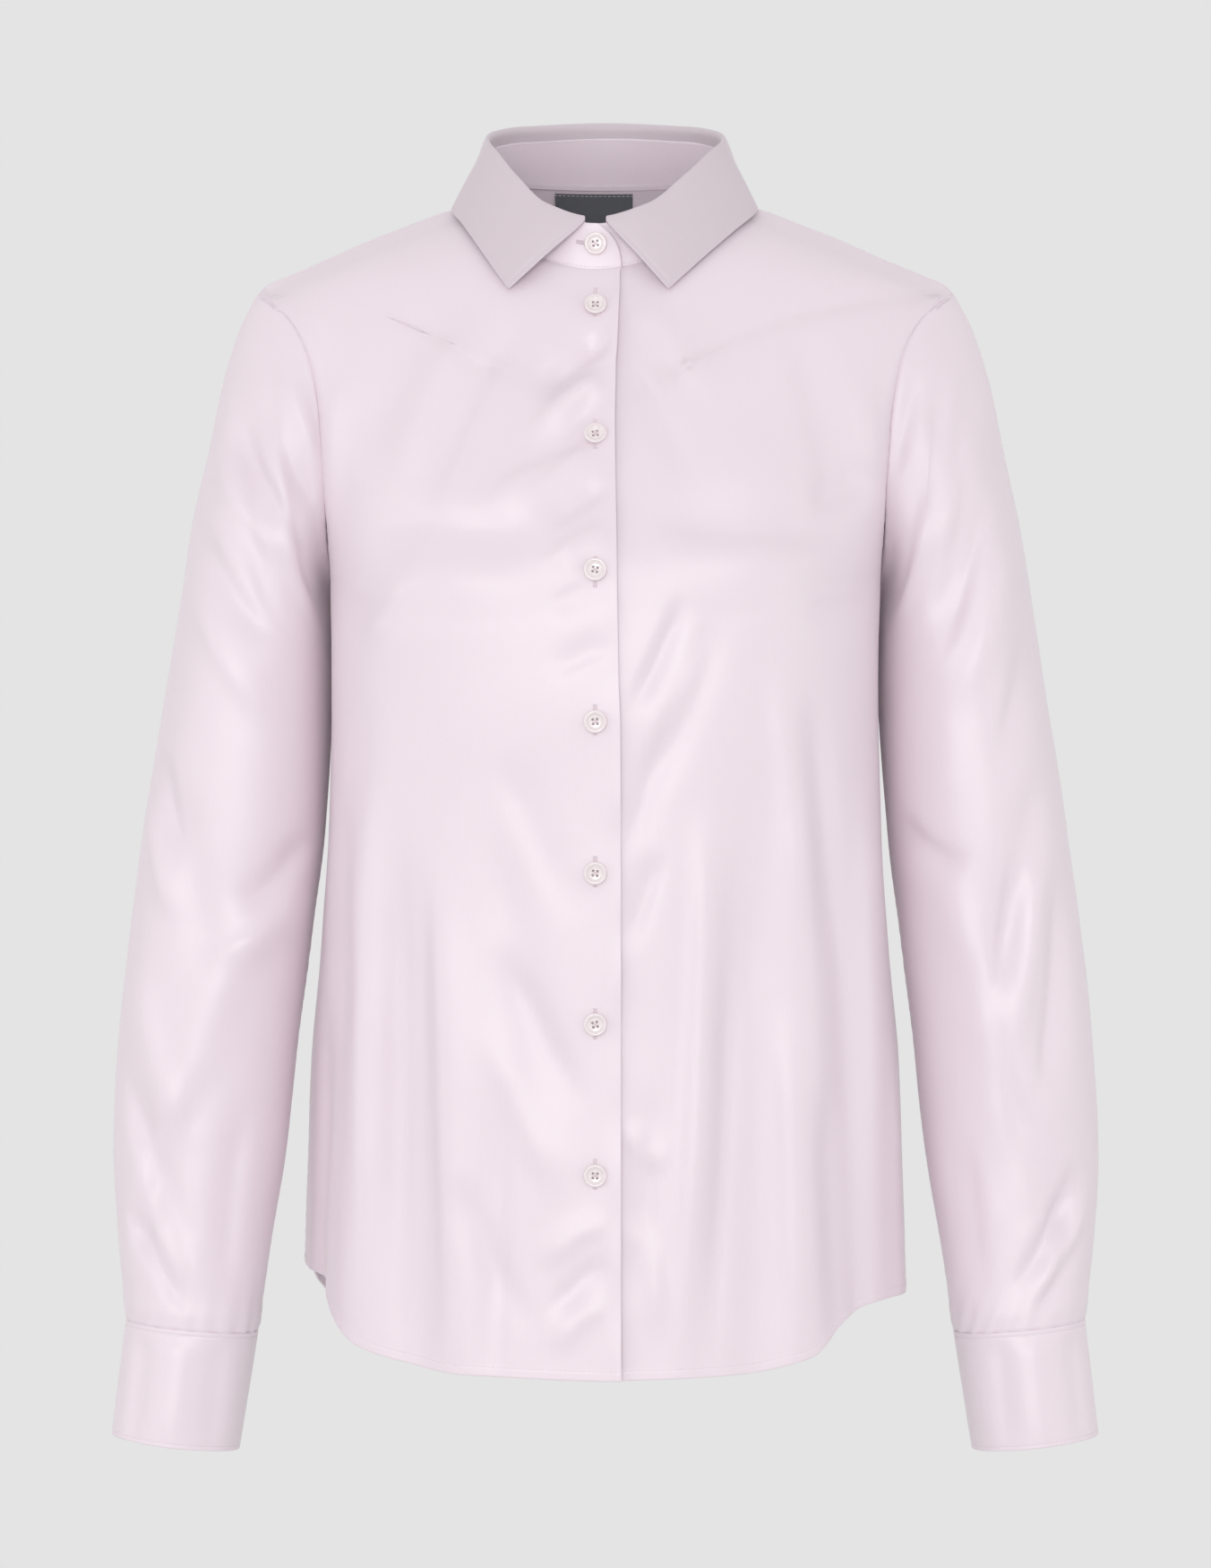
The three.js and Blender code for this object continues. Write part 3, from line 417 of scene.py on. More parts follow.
half_width, front_depth, back_depth, squareness = curves(TORSO_SECTIONS)
arm_press = curves(ARM_PRESS)[0]
hem_right, hem_left = curves(HEM_ROWS)
back_hem_right, back_hem_left = curves(BACK_HEM_ROWS)
free_edge = curves(FREE_EDGE)[0]
fall_turn_right, fall_turn_left, fall_height = curves(FALL_EDGE)
sleeve_table = curves([(ring, *row) for ring, row in enumerate(SLEEVE_RINGS)])
cuff_table = curves([(ring, *row) for ring, row in enumerate(CUFF_RINGS)])
NECK_ROWS_ROUND = (
    (-NECK_ROWS[1][0], *NECK_ROWS[1][1:]),
    *NECK_ROWS,
    (360 - NECK_ROWS[-2][0], *NECK_ROWS[-2][1:]),
)
neck_lines = dict(zip(("seam", "stand", "roll"), curves(NECK_ROWS_ROUND)))


# The form of the solids

def fold_lift(across, along, depth):
    inside = (along > 0) & (along < 1)
    fade = ease(along / 0.3) * ease((1 - along) / 0.3)
    return np.where(inside, depth * fade * np.exp(-(across**2)), 0.0)


def torso_relief(turn, z):
    wrapped = (turn + 180) % 360 - 180
    beside = (np.abs(wrapped) - CHEST_TURN) / CHEST_HALF_TURN
    above = (z - CHEST_Z) / CHEST_HALF_HEIGHT
    out = CHEST_DEPTH * np.exp(-(beside**2) - above**2)
    for top_turn, top_z, end_turn, end_z, half_turn, depth in TORSO_FOLDS:
        along = (z - top_z) / (end_z - top_z)
        middle = mix(top_turn, end_turn, np.clip(along, 0, 1))
        out = out + fold_lift((wrapped - middle) / half_turn, along, depth)
    return out


def torso_point(turn, z, further=0.0):
    """The middle surface of the body at a turn round it and a height, moved out by a further amount."""
    turn, z = np.broadcast_arrays(np.asarray(turn, float), np.asarray(z, float))
    power, width = squareness(z), half_width(z)
    depth = np.where(cos(turn) > 0, front_depth(z), back_depth(z))
    across = signed_power(sin(turn), 2 / power)
    forward = signed_power(cos(turn), 2 / power)
    normal_x = signed_power(across, power - 1) / width
    normal_y = -signed_power(forward, power - 1) / depth
    size = np.hypot(normal_x, normal_y)
    press = arm_press(z) * np.exp(-((forward * depth / ARM_PRESS_HALF) ** 2))
    out = torso_relief(turn, z) - press + further
    x = across * width + normal_x / size * out
    y = SIDE_Y - forward * depth + normal_y / size * out
    return np.stack([x, y, z], axis=-1)


def torso_normal(turn, z):
    turn, z = np.asarray(turn, float), np.asarray(z, float)
    round_it = torso_point(turn + 0.5, z) - torso_point(turn - 0.5, z)
    up = torso_point(turn, z + 1) - torso_point(turn, z - 1)
    return unit(np.cross(round_it, up))


def turn_at_width(z, x, behind=False):
    share = np.clip(x / half_width(z), -1, 1)
    turn = np.degrees(np.arcsin(signed_power(share, squareness(z) / 2)))
    return np.where(behind, 180 - turn, turn)


def turn_at_depth(z, distance, behind=False):
    depth = np.where(behind, back_depth(z), front_depth(z))
    away = np.degrees(np.arcsin((distance / depth) ** (squareness(z) / 2)))
    return np.where(behind, 90 + away, 90 - away)


def armhole_place(turn):
    middle = (SHOULDER_TIP_Z + UNDERARM_Z) / 2
    half = (SHOULDER_TIP_Z - UNDERARM_Z) / 2
    z = middle + half * signed_power(cos(turn), 2 / ARMHOLE_SQUARENESS)
    return z, ARMHOLE_HALF_DEPTH * np.abs(sin(turn)) ** (2 / ARMHOLE_SQUARENESS)


def neck_height(turn, line="seam"):
    return neck_lines[line](np.degrees(np.arccos(np.clip(cos(turn), -1, 1))))


def front_shift(turn):
    return np.where(cos(turn) > 0, BUTTON_LINE_X * cos(turn) ** 2, 0.0)


def neckline_place(turn):
    behind = cos(turn) < 0
    z = neck_height(turn)
    width = np.where(behind, half_width(z), NECK_HALF_WIDTH)
    return turn_at_width(z, width * sin(turn) + front_shift(turn), behind), z


def hem_height(turn):
    right = sin(turn) < 0
    from_middle = np.degrees(np.arcsin(np.clip(np.abs(sin(turn)), 0, 1)))
    front = np.where(right, hem_right(from_middle), hem_left(from_middle))
    back = np.where(right, back_hem_right(from_middle), back_hem_left(from_middle))
    return np.where(cos(turn) > 0, front, back)


# A panel's outer edge is the side seam, then the armhole, then the shoulder, in rows of the solids
SEAM_ROWS, ARMHOLE_ROWS, SHOULDER_ROWS = 12, 10, 5
PANEL_ROWS = SEAM_ROWS + ARMHOLE_ROWS + SHOULDER_ROWS
SHOULDER_CROWDING = 1.6
SMOOTHED_ABOVE_ROW, SMOOTHED_FULLY_AFTER, SMOOTHING_PASSES = 17, 3, 40
closing_share = smooth_curve((0, SEAM_ROWS, SEAM_ROWS + ARMHOLE_ROWS, PANEL_ROWS), (0, 0.69, 0.91, 1))


def outer_edge(side, behind):
    sign, side_z = (-1, HEM_ROWS[-1][1]) if side == "right" else (1, HEM_ROWS[-1][2])

    def edge(v):
        row = np.asarray(v, float) * PANEL_ROWS
        on_armhole, on_shoulder = row - SEAM_ROWS, row - SEAM_ROWS - ARMHOLE_ROWS
        armhole_z, armhole_distance = armhole_place(180 * (1 - np.clip(on_armhole / ARMHOLE_ROWS, 0, 1)))
        up = 1 - (1 - np.clip(on_shoulder / SHOULDER_ROWS, 0, 1)) ** SHOULDER_CROWDING
        z = np.select(
            [on_shoulder > 0, on_armhole > 0],
            [mix(SHOULDER_TIP_Z, 0.0, up), armhole_z],
            mix(side_z, UNDERARM_Z, row / SEAM_ROWS),
        )
        distance = np.where((on_armhole > 0) & (on_shoulder <= 0), armhole_distance, 0.0)
        return sign * turn_at_depth(z, distance, behind), z

    return edge


def places_inside(bottom, top, first, last, across, up):
    """A grid of turns and heights inside four edges, smoothed towards the shoulder."""
    u, v = across[None, :], up[:, None]
    grids = []
    for k in range(2):
        b, t, f, l = bottom(across)[k], top(across)[k], first(up)[k], last(up)[k]
        corners = mix(mix(b[0], b[-1], u), mix(t[0], t[-1], u), v)
        inside = mix(f[:, None], l[:, None], u) + mix(b[None, :], t[None, :], v) - corners
        share = ease((v * PANEL_ROWS - SMOOTHED_ABOVE_ROW) / SMOOTHED_FULLY_AFTER) * np.ones_like(inside)
        share[:, [0, -1]] = 0
        for _ in range(SMOOTHING_PASSES):
            inside[1:-1] += (inside[:-2] - 2 * inside[1:-1] + inside[2:]) / 4 * share[1:-1]
        grids.append(inside)
    return grids


def closing_step(side, turn, z):
    x = torso_point(turn, z)[..., 0] - BUTTON_LINE_X
    towards = x if side == "right" else -x
    lap = ease((towards + 3 * CLOSING_HALF) / (2 * CLOSING_HALF))
    return (OVERLAP_STEP if side == "right" else -OVERLAP_STEP) * lap


def ring_point(table, ring, turn):
    ring, turn = np.broadcast_arrays(np.asarray(ring, float), np.asarray(turn, float))
    outer_x, outer_z, inner_x, inner_z, half_depth, middle_y = (column(ring) for column in table)
    x = (outer_x + inner_x) / 2 + (outer_x - inner_x) / 2 * cos(turn)
    z = (outer_z + inner_z) / 2 + (outer_z - inner_z) / 2 * cos(turn)
    return np.stack([x, middle_y - half_depth * sin(turn), z], axis=-1)


def plain_sleeve_point(ring, turn):
    point = ring_point(sleeve_table, ring, turn)
    z, distance = armhole_place(turn)
    armhole = torso_point(turn_at_depth(z, distance, sin(turn) < 0), z)
    fade = 1 - ease(ring / SLEEVE_BLEND_RINGS)
    return point + (armhole - ring_point(sleeve_table, np.zeros_like(turn), turn)) * fade[..., None]


def sleeve_relief(turn, ring):
    out = np.zeros_like(turn)
    for from_turn, from_ring, to_turn, to_ring, half_turn, depth in SLEEVE_FOLDS:
        along = (ring - from_ring) / (to_ring - from_ring)
        middle = mix(from_turn, to_turn, np.clip(along, 0, 1))
        out += fold_lift((turn - middle) / half_turn, along, depth)
    return out


def sleeve_point(ring, turn, further=0.0):
    """The middle surface of the left sleeve at a ring and a turn round it."""
    ring, turn = np.broadcast_arrays(np.asarray(ring, float), np.asarray(turn, float) % 360)
    span = 0.2
    ahead, before = np.minimum(ring + span, LAST_RING), np.maximum(ring - span, 0)
    along = plain_sleeve_point(ahead, turn) - plain_sleeve_point(before, turn)
    round_it = plain_sleeve_point(ring, turn + 2) - plain_sleeve_point(ring, turn - 2)
    normal = unit(np.cross(round_it, along))
    lift = sleeve_relief(turn, ring) + further
    return plain_sleeve_point(ring, turn) + normal * lift[..., None]


def cuff_point(down, turn, further=0.0):
    """The middle surface of the left cuff, whose last stretch lies over its first."""
    down, turn = np.broadcast_arrays(np.asarray(down, float), np.asarray(turn, float))
    wound = ease((turn - CUFF_OPENING_TURN - 300) / 50)
    middle = ring_point(cuff_table, down, turn)
    centre = (ring_point(cuff_table, down, turn * 0) + ring_point(cuff_table, down, turn * 0 + 180)) / 2
    out = unit(middle - centre)
    return middle + out * (wound * 2.4 + further)[..., None]


def collar_point(turn, line):
    width, depth, middle_y = COLLAR_OVALS[line]
    x = width * sin(turn) + front_shift(turn)
    return np.stack([x, middle_y - depth * cos(turn), neck_height(turn, line)], axis=-1)


def neck_outward(turn):
    width, depth, _ = COLLAR_OVALS["stand"]
    return unit(np.stack([sin(turn) / width, -cos(turn) / depth, np.zeros_like(turn)], axis=-1))


def stand_point(turn, up, foot_lift=1.2, further=0.0):
    turn, up = np.broadcast_arrays(np.asarray(turn, float), np.asarray(up, float))
    foot = torso_point(*neckline_place(turn))
    foot[..., 2] += foot_lift
    over = ease((turn - 360 + STAND_LAP_STARTS) / STAND_LAP_TURNS)
    under = ease((STAND_LAP_STARTS - turn) / STAND_LAP_TURNS)
    point = mix(foot, collar_point(turn, "stand"), up[..., None])
    return point + neck_outward(turn) * (OVERLAP_STEP * (over - under) + further)[..., None]


def fall_edge_point(turn):
    half = np.where(turn > 180, 360 - turn, turn)
    body_turn = np.where(turn > 180, -fall_turn_right(half), fall_turn_left(half))
    z = fall_height(half)
    for sign, table in ((-1, fall_turn_right), (1, fall_turn_left)):
        ends = np.array([FALL_START, FALL_CORNER])
        ends_x = torso_point(sign * table(ends), fall_height(ends))[..., 0]
        straight = turn_at_width(z, np.interp(z, fall_height(ends), ends_x))
        body_turn = np.where((half < FALL_CORNER) & (sign * body_turn > 0), straight, body_turn)
    point = torso_point(body_turn, z) + torso_normal(body_turn, z) * FALL_CLEARANCE
    point[..., 0] += front_shift(turn)
    return point


def centripetal(knots, share):
    """Points along the smooth curve through six knots, each an array of points."""
    knots = [2 * knots[0] - knots[1], *knots, 2 * knots[-1] - knots[-2]]
    spans = len(knots) - 3
    rows = []
    for s in share:
        i = min(int(s * spans), spans - 1)
        w = s * spans - i
        a, b, c, d = knots[i : i + 4]
        pairs = ((a, b), (b, c), (c, d))
        d0, d1, d2 = (np.linalg.norm(q - p, axis=-1, keepdims=True) ** 0.5 for p, q in pairs)
        t1 = ((b - a) / d0 - (c - a) / (d0 + d1) + (c - b) / d1) * d1
        t2 = ((c - b) / d1 - (d - b) / (d1 + d2) + (d - c) / d2) * d1
        rows.append(b + t1 * w + (3 * (c - b) - 2 * t1 - t2) * w**2 + (2 * (b - c) + t1 + t2) * w**3)
    return np.stack(rows)


# Cloth as a grid of points with the creases, seams and edges that the solids leave out

def spread(length, spacing, first=0.0, last=0.0, fine=0.7):
    """Shares from 0 to 1 along a length, closer together near an end with fine detail."""
    head, tail = np.arange(0, first, fine), length - np.arange(0, last, fine)
    count = max(2, round((length - first - last) / spacing) + 1)
    middle = np.linspace(first, length - last, count)
    return np.unique(np.concatenate([head, middle, tail]).round(5)) / length


def bell(distance, half):
    return np.exp(-((distance / half) ** 2))


CREASE_STRENGTH, CREASE_FADE, CREASE_LEAN = 1.6, 0.35, 0.3


def crease_lift(points, normals, creases, facing):
    """How far creases lift the cloth on the face that looks along facing times the Y axis."""
    place = points[..., (0, 2)]
    lift = np.zeros(place.shape[:-1])
    share = np.linspace(0, 1, 13)[:, None]
    for k, (start, via, end, half, depth) in enumerate(creases):
        start, via, end = (np.array(p, float) for p in (start, via, end))
        bend = 2 * via - (start + end) / 2
        path = start * (1 - share) ** 2 + 2 * bend * share * (1 - share) + end * share**2
        step = np.diff(path, axis=0)
        from_start = place[..., None, :] - path[:-1]
        t = np.clip((from_start * step).sum(-1) / (step**2).sum(-1), 0, 1)
        away = from_start - step * t[..., None]
        distance = np.hypot(away[..., 0], away[..., 1])
        nearest = distance.argmin(-1)[..., None]
        pick = lambda values: np.take_along_axis(values, nearest, -1)[..., 0]
        along = (nearest[..., 0] + pick(t)) / len(step)
        side = np.sign(pick(step[:, 0] * away[..., 1] - step[:, 1] * away[..., 0]))
        lean = CREASE_LEAN if k % 2 else -CREASE_LEAN
        across = pick(distance) / (half * (1 + lean * side))
        lift += depth * ease(along / CREASE_FADE) * ease((1 - along) / CREASE_FADE) * np.exp(-(across**2))
    return lift * CREASE_STRENGTH * ease((facing * normals[..., 1] - 0.02) / 0.4)


EVENING_STEPS = (-10, -6.5, -3.5, 3.5, 6.5, 10)


def evened(points, z, step, behind, share):
    """Evens out, as much as the share says, the sudden bends between two sections of the body."""
    total = points[..., 1].copy()
    for off in EVENING_STEPS:
        turn = turn_at_width(z + off, points[..., 0], behind)
        total += torso_point(turn, z + off, step)[..., 1]
    points = points.copy()
    points[..., 1] += (total / (len(EVENING_STEPS) + 1) - points[..., 1]) * share
    return points


def ripples(points, height, shortest=34.0, longest=115.0, waves=28, seed=11):
    """Soft unevenness of hanging cloth, mostly upright, the same at a seam on both pieces."""
    chance = np.random.default_rng(seed)
    total = np.zeros(points.shape[:-1])
    for _ in range(waves):
        length, phase = chance.uniform(shortest, longest), chance.uniform(0, 2 * np.pi)
        heading, tilt = chance.uniform(0, 2 * np.pi), chance.normal(0, 0.35)
        flat = np.cos(tilt)
        way = np.array([np.cos(heading) * flat, np.sin(heading) * flat, np.sin(tilt)])
        total += np.sin(points @ way * (2 * np.pi / length) + phase) * (length / longest)
    return total * height / np.sqrt(waves / 2)


def pucker(along, away, height, pitch, reach):
    """Small gathers that a line of sewing leaves in the cloth beside it."""
    uneven = along + 0.22 * pitch * np.sin(along / (pitch * 0.9)) + 1.7 * np.sin(along / 23.0)
    swell = 0.6 + 0.4 * np.sin(along / 31.0 + 1.0)
    return height * swell * np.sin(2 * np.pi * uneven / pitch) * np.exp(-away / reach)


class Cloth:
    """A grid of points in rows and columns, with how far its faces lie out and in from them."""

    def __init__(self, points, outer=0.25, inner=0.25, wrapped=False):
        self.points = points
        self.wrapped = wrapped
        self.outer = np.full(points.shape[:2], float(outer))
        self.inner = np.full(points.shape[:2], float(inner))

    def normals(self):
        p = self.points
        if self.wrapped:
            across = np.roll(p, -1, axis=1) - np.roll(p, 1, axis=1)
        else:
            across = np.gradient(p, axis=1)
        return unit(np.cross(across, np.gradient(p, axis=0)))

    def lengths(self, axis):
        """Distance walked along the grid lines to each point."""
        step = np.linalg.norm(np.diff(self.points, axis=axis), axis=-1)
        start = np.zeros_like(np.take(step, [0], axis=axis))
        return np.concatenate([start, np.cumsum(step, axis=axis)], axis=axis)

    def lift(self, amount):
        self.points = self.points + self.normals() * amount[..., None]

    def line(self, axis, distance, from_end=False, inside=False):
        """A line on the face of the cloth at a distance from one of its edges."""
        walked = self.lengths(axis)
        if from_end:
            walked = np.take(walked, [-1], axis=axis) - walked
        off = -self.inner if inside else self.outer
        face = self.points + self.normals() * off[..., None]
        if axis == 1:
            walked, face = walked.T, face.transpose(1, 0, 2)
        if from_end:
            walked, face = walked[::-1], face[::-1]
        found = [
            [np.interp(distance, walked[:, j], face[:, j, k]) for k in range(3)] for j in range(face.shape[1])
        ]
        return np.array(found)

    def rounded(self, points, normals, outer, inner, axis):
        """Adds rounded lips to both ends of the grid along an axis."""
        flip = (lambda a: a) if axis == 0 else (lambda a: a.swapaxes(0, 1))
        points, normals, outer, inner = (flip(a) for a in (points, normals, outer, inner))
        for _ in range(2):
            edge, normal = points[-1], normals[-1:]
            away = edge - points[-2]
            away = unit(away - normal[0] * (away * normal[0]).sum(-1, keepdims=True))
            radius, middle = (outer[-1] + inner[-1]) / 2, (outer[-1] - inner[-1]) / 2
            for reach, rest in ((0.6, 0.8), (0.9, 0.44), (1.0, 0.12)):
                points = np.concatenate([points, (edge + away * (radius * reach)[:, None])[None]])
                outer = np.concatenate([outer, (middle + radius * rest)[None]])
                inner = np.concatenate([inner, (radius * rest - middle)[None]])
                normals = np.concatenate([normals, normal])
            points, normals, outer, inner = points[::-1], normals[::-1], outer[::-1], inner[::-1]
        return [flip(a) for a in (points, normals, outer, inner)]

    def area(self):
        p = self.points
        if self.wrapped:
            p = np.concatenate([p, p[:, :1]], axis=1)
        diagonals = np.cross(p[1:, 1:] - p[:-1, :-1], p[1:, :-1] - p[:-1, 1:])
        return np.linalg.norm(diagonals, axis=-1).sum() / 2

    def cut(self):
        """Width and length of the cut in metres, and its area."""
        across = self.lengths(1)
        width = across[:, -1].max()
        if self.wrapped:
            closing = np.linalg.norm(self.points[:, -1] - self.points[:, 0], axis=-1)
            width = (across[:, -1] + closing).max()
        length = self.lengths(0)[-1].max()
        return (width * MM, length * MM), self.area() * MM * MM

    def mesh(self, name):
        """A closed thin shell as a mesh, with a UV map in metres of cloth."""
        grids = self.rounded(self.points, self.normals(), self.outer, self.inner, 0)
        if not self.wrapped:
            grids = self.rounded(*grids, 1)
        points, normals, outer, inner = grids
        rows, columns = outer.shape
        layers = [points + normals * outer[..., None], points - normals * inner[..., None]]
        vertices = np.concatenate([layer.reshape(-1, 3) for layer in layers]) * MM
        around = np.concatenate([points, points[:, :1]], axis=1) if self.wrapped else points
        flat = Cloth(around)
        middle = around.shape[1] // 2
        u = flat.lengths(1)
        uv = np.stack([u - u[:, middle : middle + 1], flat.lengths(0)], axis=-1) * MM
        wide = around.shape[1]
        i, j = np.mgrid[0 : rows - 1, 0 : wide - 1]
        corners = [(i, j), (i, j + 1), (i + 1, j + 1), (i + 1, j)]
        sheet = np.stack([a * columns + b % columns for a, b in corners], axis=-1).reshape(-1, 4)
        sheet_uv = np.stack([a * wide + b for a, b in corners], axis=-1).reshape(-1, 4)
        faces, face_uvs = [sheet, sheet[:, ::-1] + rows * columns], [sheet_uv, sheet_uv[:, ::-1]]
        start = j[0]
        for row, way in ((0, 1), (rows - 1, -1)):
            a, b = (start, start + 1) if way > 0 else (start + 1, start)
            rim = [(1, row, a), (1, row, b), (0, row, b), (0, row, a)]
            around_rim = [s * rows * columns + r * columns + c % columns for s, r, c in rim]
            faces.append(np.stack(around_rim, axis=-1))
            face_uvs.append(np.stack([r * wide + c for _, r, c in rim], axis=-1))
        if not self.wrapped:
            down = np.arange(rows - 1)
            for column, way in ((0, -1), (columns - 1, 1)):
                a, b = (down, down + 1) if way > 0 else (down + 1, down)
                rim = [(1, a, column), (1, b, column), (0, b, column), (0, a, column)]
                faces.append(np.stack([s * rows * columns + r * columns + c for s, r, c in rim], axis=-1))
                face_uvs.append(np.stack([r * wide + c for _, r, c in rim], axis=-1))
        mesh = bpy.data.meshes.new(name)
        mesh.from_pydata(vertices.tolist(), [], np.concatenate(faces).tolist())
        layer = mesh.uv_layers.new(name="cloth")
        layer.data.foreach_set("uv", uv.reshape(-1, 2)[np.concatenate(face_uvs).ravel()].ravel())
        mesh.shade_smooth()
        mesh.validate()
        return mesh


# The pieces of cloth

FOLDED = 0.5
SEAM_DIP = 0.7
LABEL_LEFT, LABEL_RIGHT, LABEL_TOP, LABEL_DROP = -28.0, 15.0, 9.0, 34.0
PLACKET_RINGS, PLACKET_HALF_TURN = (9.9, 11.98), 15.0
FACING_WIDTH = 37.0
EDGE_STITCH = 1.9


def mirrored(points):
    """The same grid on the wearer's right, columns turned round so that the cloth still faces outwards."""
    points = points[:, ::-1].copy()
    points[..., 0] *= -1
    return points


def half_layer():
    return bpy.context.scene.shirt_sizes.cloth_thickness / MM / 2


def hem_depth():
    return bpy.context.scene.shirt_sizes.hem_depth / MM


def panel_steps():
    seam = SEAM_ROWS * spread(370, 3.0, first=9, fine=0.6)
    armhole = SEAM_ROWS + ARMHOLE_ROWS * spread(190, 3.0)
    shoulder = SEAM_ROWS + ARMHOLE_ROWS + SHOULDER_ROWS * spread(131, 2.6, last=4)
    return np.unique(np.concatenate([seam, armhole, shoulder]).round(6)) / PANEL_ROWS


def box_centre(name):
    low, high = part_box(name)
    return np.array((low + high) / 2) / MM


def held_by_buttons(points):
    """How freely cloth may leave the form: not at all under a button."""
    free = np.ones(points.shape[:2])
    for k in range(1, 8):
        centre = box_centre(f"button_{k}")
        away = np.hypot(points[..., 0] - centre[0], points[..., 2] - centre[2])
        free *= 1 - bell(away, 9.0)
    return free


def hem_band(cloth, from_hem):
    """The narrow hem is turned up twice, which shows as a band with a line of stitches."""
    turned_up = ease((hem_depth() - from_hem) / 0.8 + 0.5)
    cloth.outer = cloth.outer + 0.16 * turned_up
    cloth.inner = cloth.inner + 0.45 * turned_up


def evened_panel(cloth, z, step, behind, from_outer, from_neck):
    """Evens a panel out above the bust, less and less towards its sewn edges."""
    share = ease(from_outer / 24) * ease((z + 245) / 25) * ease(from_neck / 14)
    cloth.points = evened(cloth.points, z, step, behind, share)


def panel_seams(along, across, from_outer):
    """How its seams and the stitches of its hem draw a panel in."""
    lift = pucker(along, from_outer, 0.22, 7.5, 6.0) + pucker(across, along, 0.2, 9.0, 8.0)
    return lift - SEAM_DIP * bell(from_outer, 1.2) - 0.14 * bell(along - hem_depth() + 0.7, 0.7)


def front_cloth(side):
    right = side == "right"
    outer = outer_edge(side, False)
    edge_x = BUTTON_LINE_X + (CLOSING_HALF if right else -CLOSING_HALF)
    neck_end = np.degrees(np.arcsin((edge_x - BUTTON_LINE_X) / NECK_HALF_WIDTH))
    low, high = hem_height(turn_at_width(HEM_ROWS[0][1], edge_x)), neck_height(neck_end)

    def closing(v):
        z = mix(low, high, closing_share(v * PANEL_ROWS))
        return turn_at_width(z, free_edge(z) if right else edge_x), z

    def hem(u):
        turn = mix(outer(0.0)[0], closing(0.0)[0], u)
        return turn, hem_height(turn)

    def neck(u):
        turn, z = neckline_place(mix(-90 if right else 90, neck_end, u))
        for end, edge in ((0, outer), (-1, closing)):
            turn[end], z[end] = edge(1.0)
        return turn, z

    turn, z = places_inside(hem, neck, outer, closing, spread(232, 2.8, first=6, last=6), panel_steps())
    if not right:
        turn, z = turn[:, ::-1], z[:, ::-1]
    step = closing_step(side, turn, z)
    cloth = Cloth(torso_point(turn, z, step), half_layer(), half_layer())
    along, across = cloth.lengths(0), cloth.lengths(1)
    width = across[:, -1:]
    from_outer, from_closing = (across, width - across) if right else (width - across, across)
    from_neck = along[-1:] - along
    evened_panel(cloth, z, step, False, from_outer, from_neck)
    lift = crease_lift(cloth.points, cloth.normals(), FRONT_CREASES, -1)
    lift = (lift + ripples(cloth.points, 0.5)) * held_by_buttons(cloth.points)
    lift += panel_seams(along, across, from_outer)
    lift += 0.8 * (1 - ease(from_neck / 14)) * ease(from_outer / 14)
    if right:
        standing = 0.7 + 0.5 * np.sin(z / 17.0 + 0.8) + 0.35 * np.sin(z / 7.7)
        standing += 1.2 * ease((z + 200) / 70) + 1.1 * ease((-490 - z) / 70)
        lift += np.maximum(standing, 0.1) * ease(1 - from_closing / 15) * ease((-48 - z) / 16)
    cloth.lift(lift)
    hem_band(cloth, along)
    cloth.inner = cloth.inner + 0.3 * ease((FACING_WIDTH - from_closing) / 1.5)
    return cloth


def back_cloth():
    left, right = outer_edge("left", True), outer_edge("right", True)

    def round_right(v):
        turn, z = right(v)
        return turn + 360, z

    def hem(u):
        turn = mix(left(0.0)[0], round_right(0.0)[0], u)
        return turn, hem_height(turn)

    def neck(u):
        turn, z = neckline_place(mix(90, 270, u))
        for end, edge in ((0, left), (-1, round_right)):
            turn[end], z[end] = edge(1.0)
        return turn, z

    turn, z = places_inside(hem, neck, left, round_right, spread(430, 3.0, first=5, last=5), panel_steps())
    cloth = Cloth(torso_point(turn, z), half_layer(), half_layer())
    along, across = cloth.lengths(0), cloth.lengths(1)
    from_outer = np.minimum(across, across[:, -1:] - across)
    evened_panel(cloth, z, 0.0, True, from_outer, along[-1:] - along)
    lift = crease_lift(cloth.points, cloth.normals(), BACK_CREASES, 1) + ripples(cloth.points, 0.5)
    cloth.lift(lift + panel_seams(along, across, from_outer))
    hem_band(cloth, along)
    return cloth


def sleeve_lift(points, normals, side):
    lift = crease_lift(points, normals, SLEEVE_CREASES_FRONT[side], -1)
    return lift + crease_lift(points, normals, SLEEVE_CREASES_BACK[side], 1) + ripples(points, 0.5)


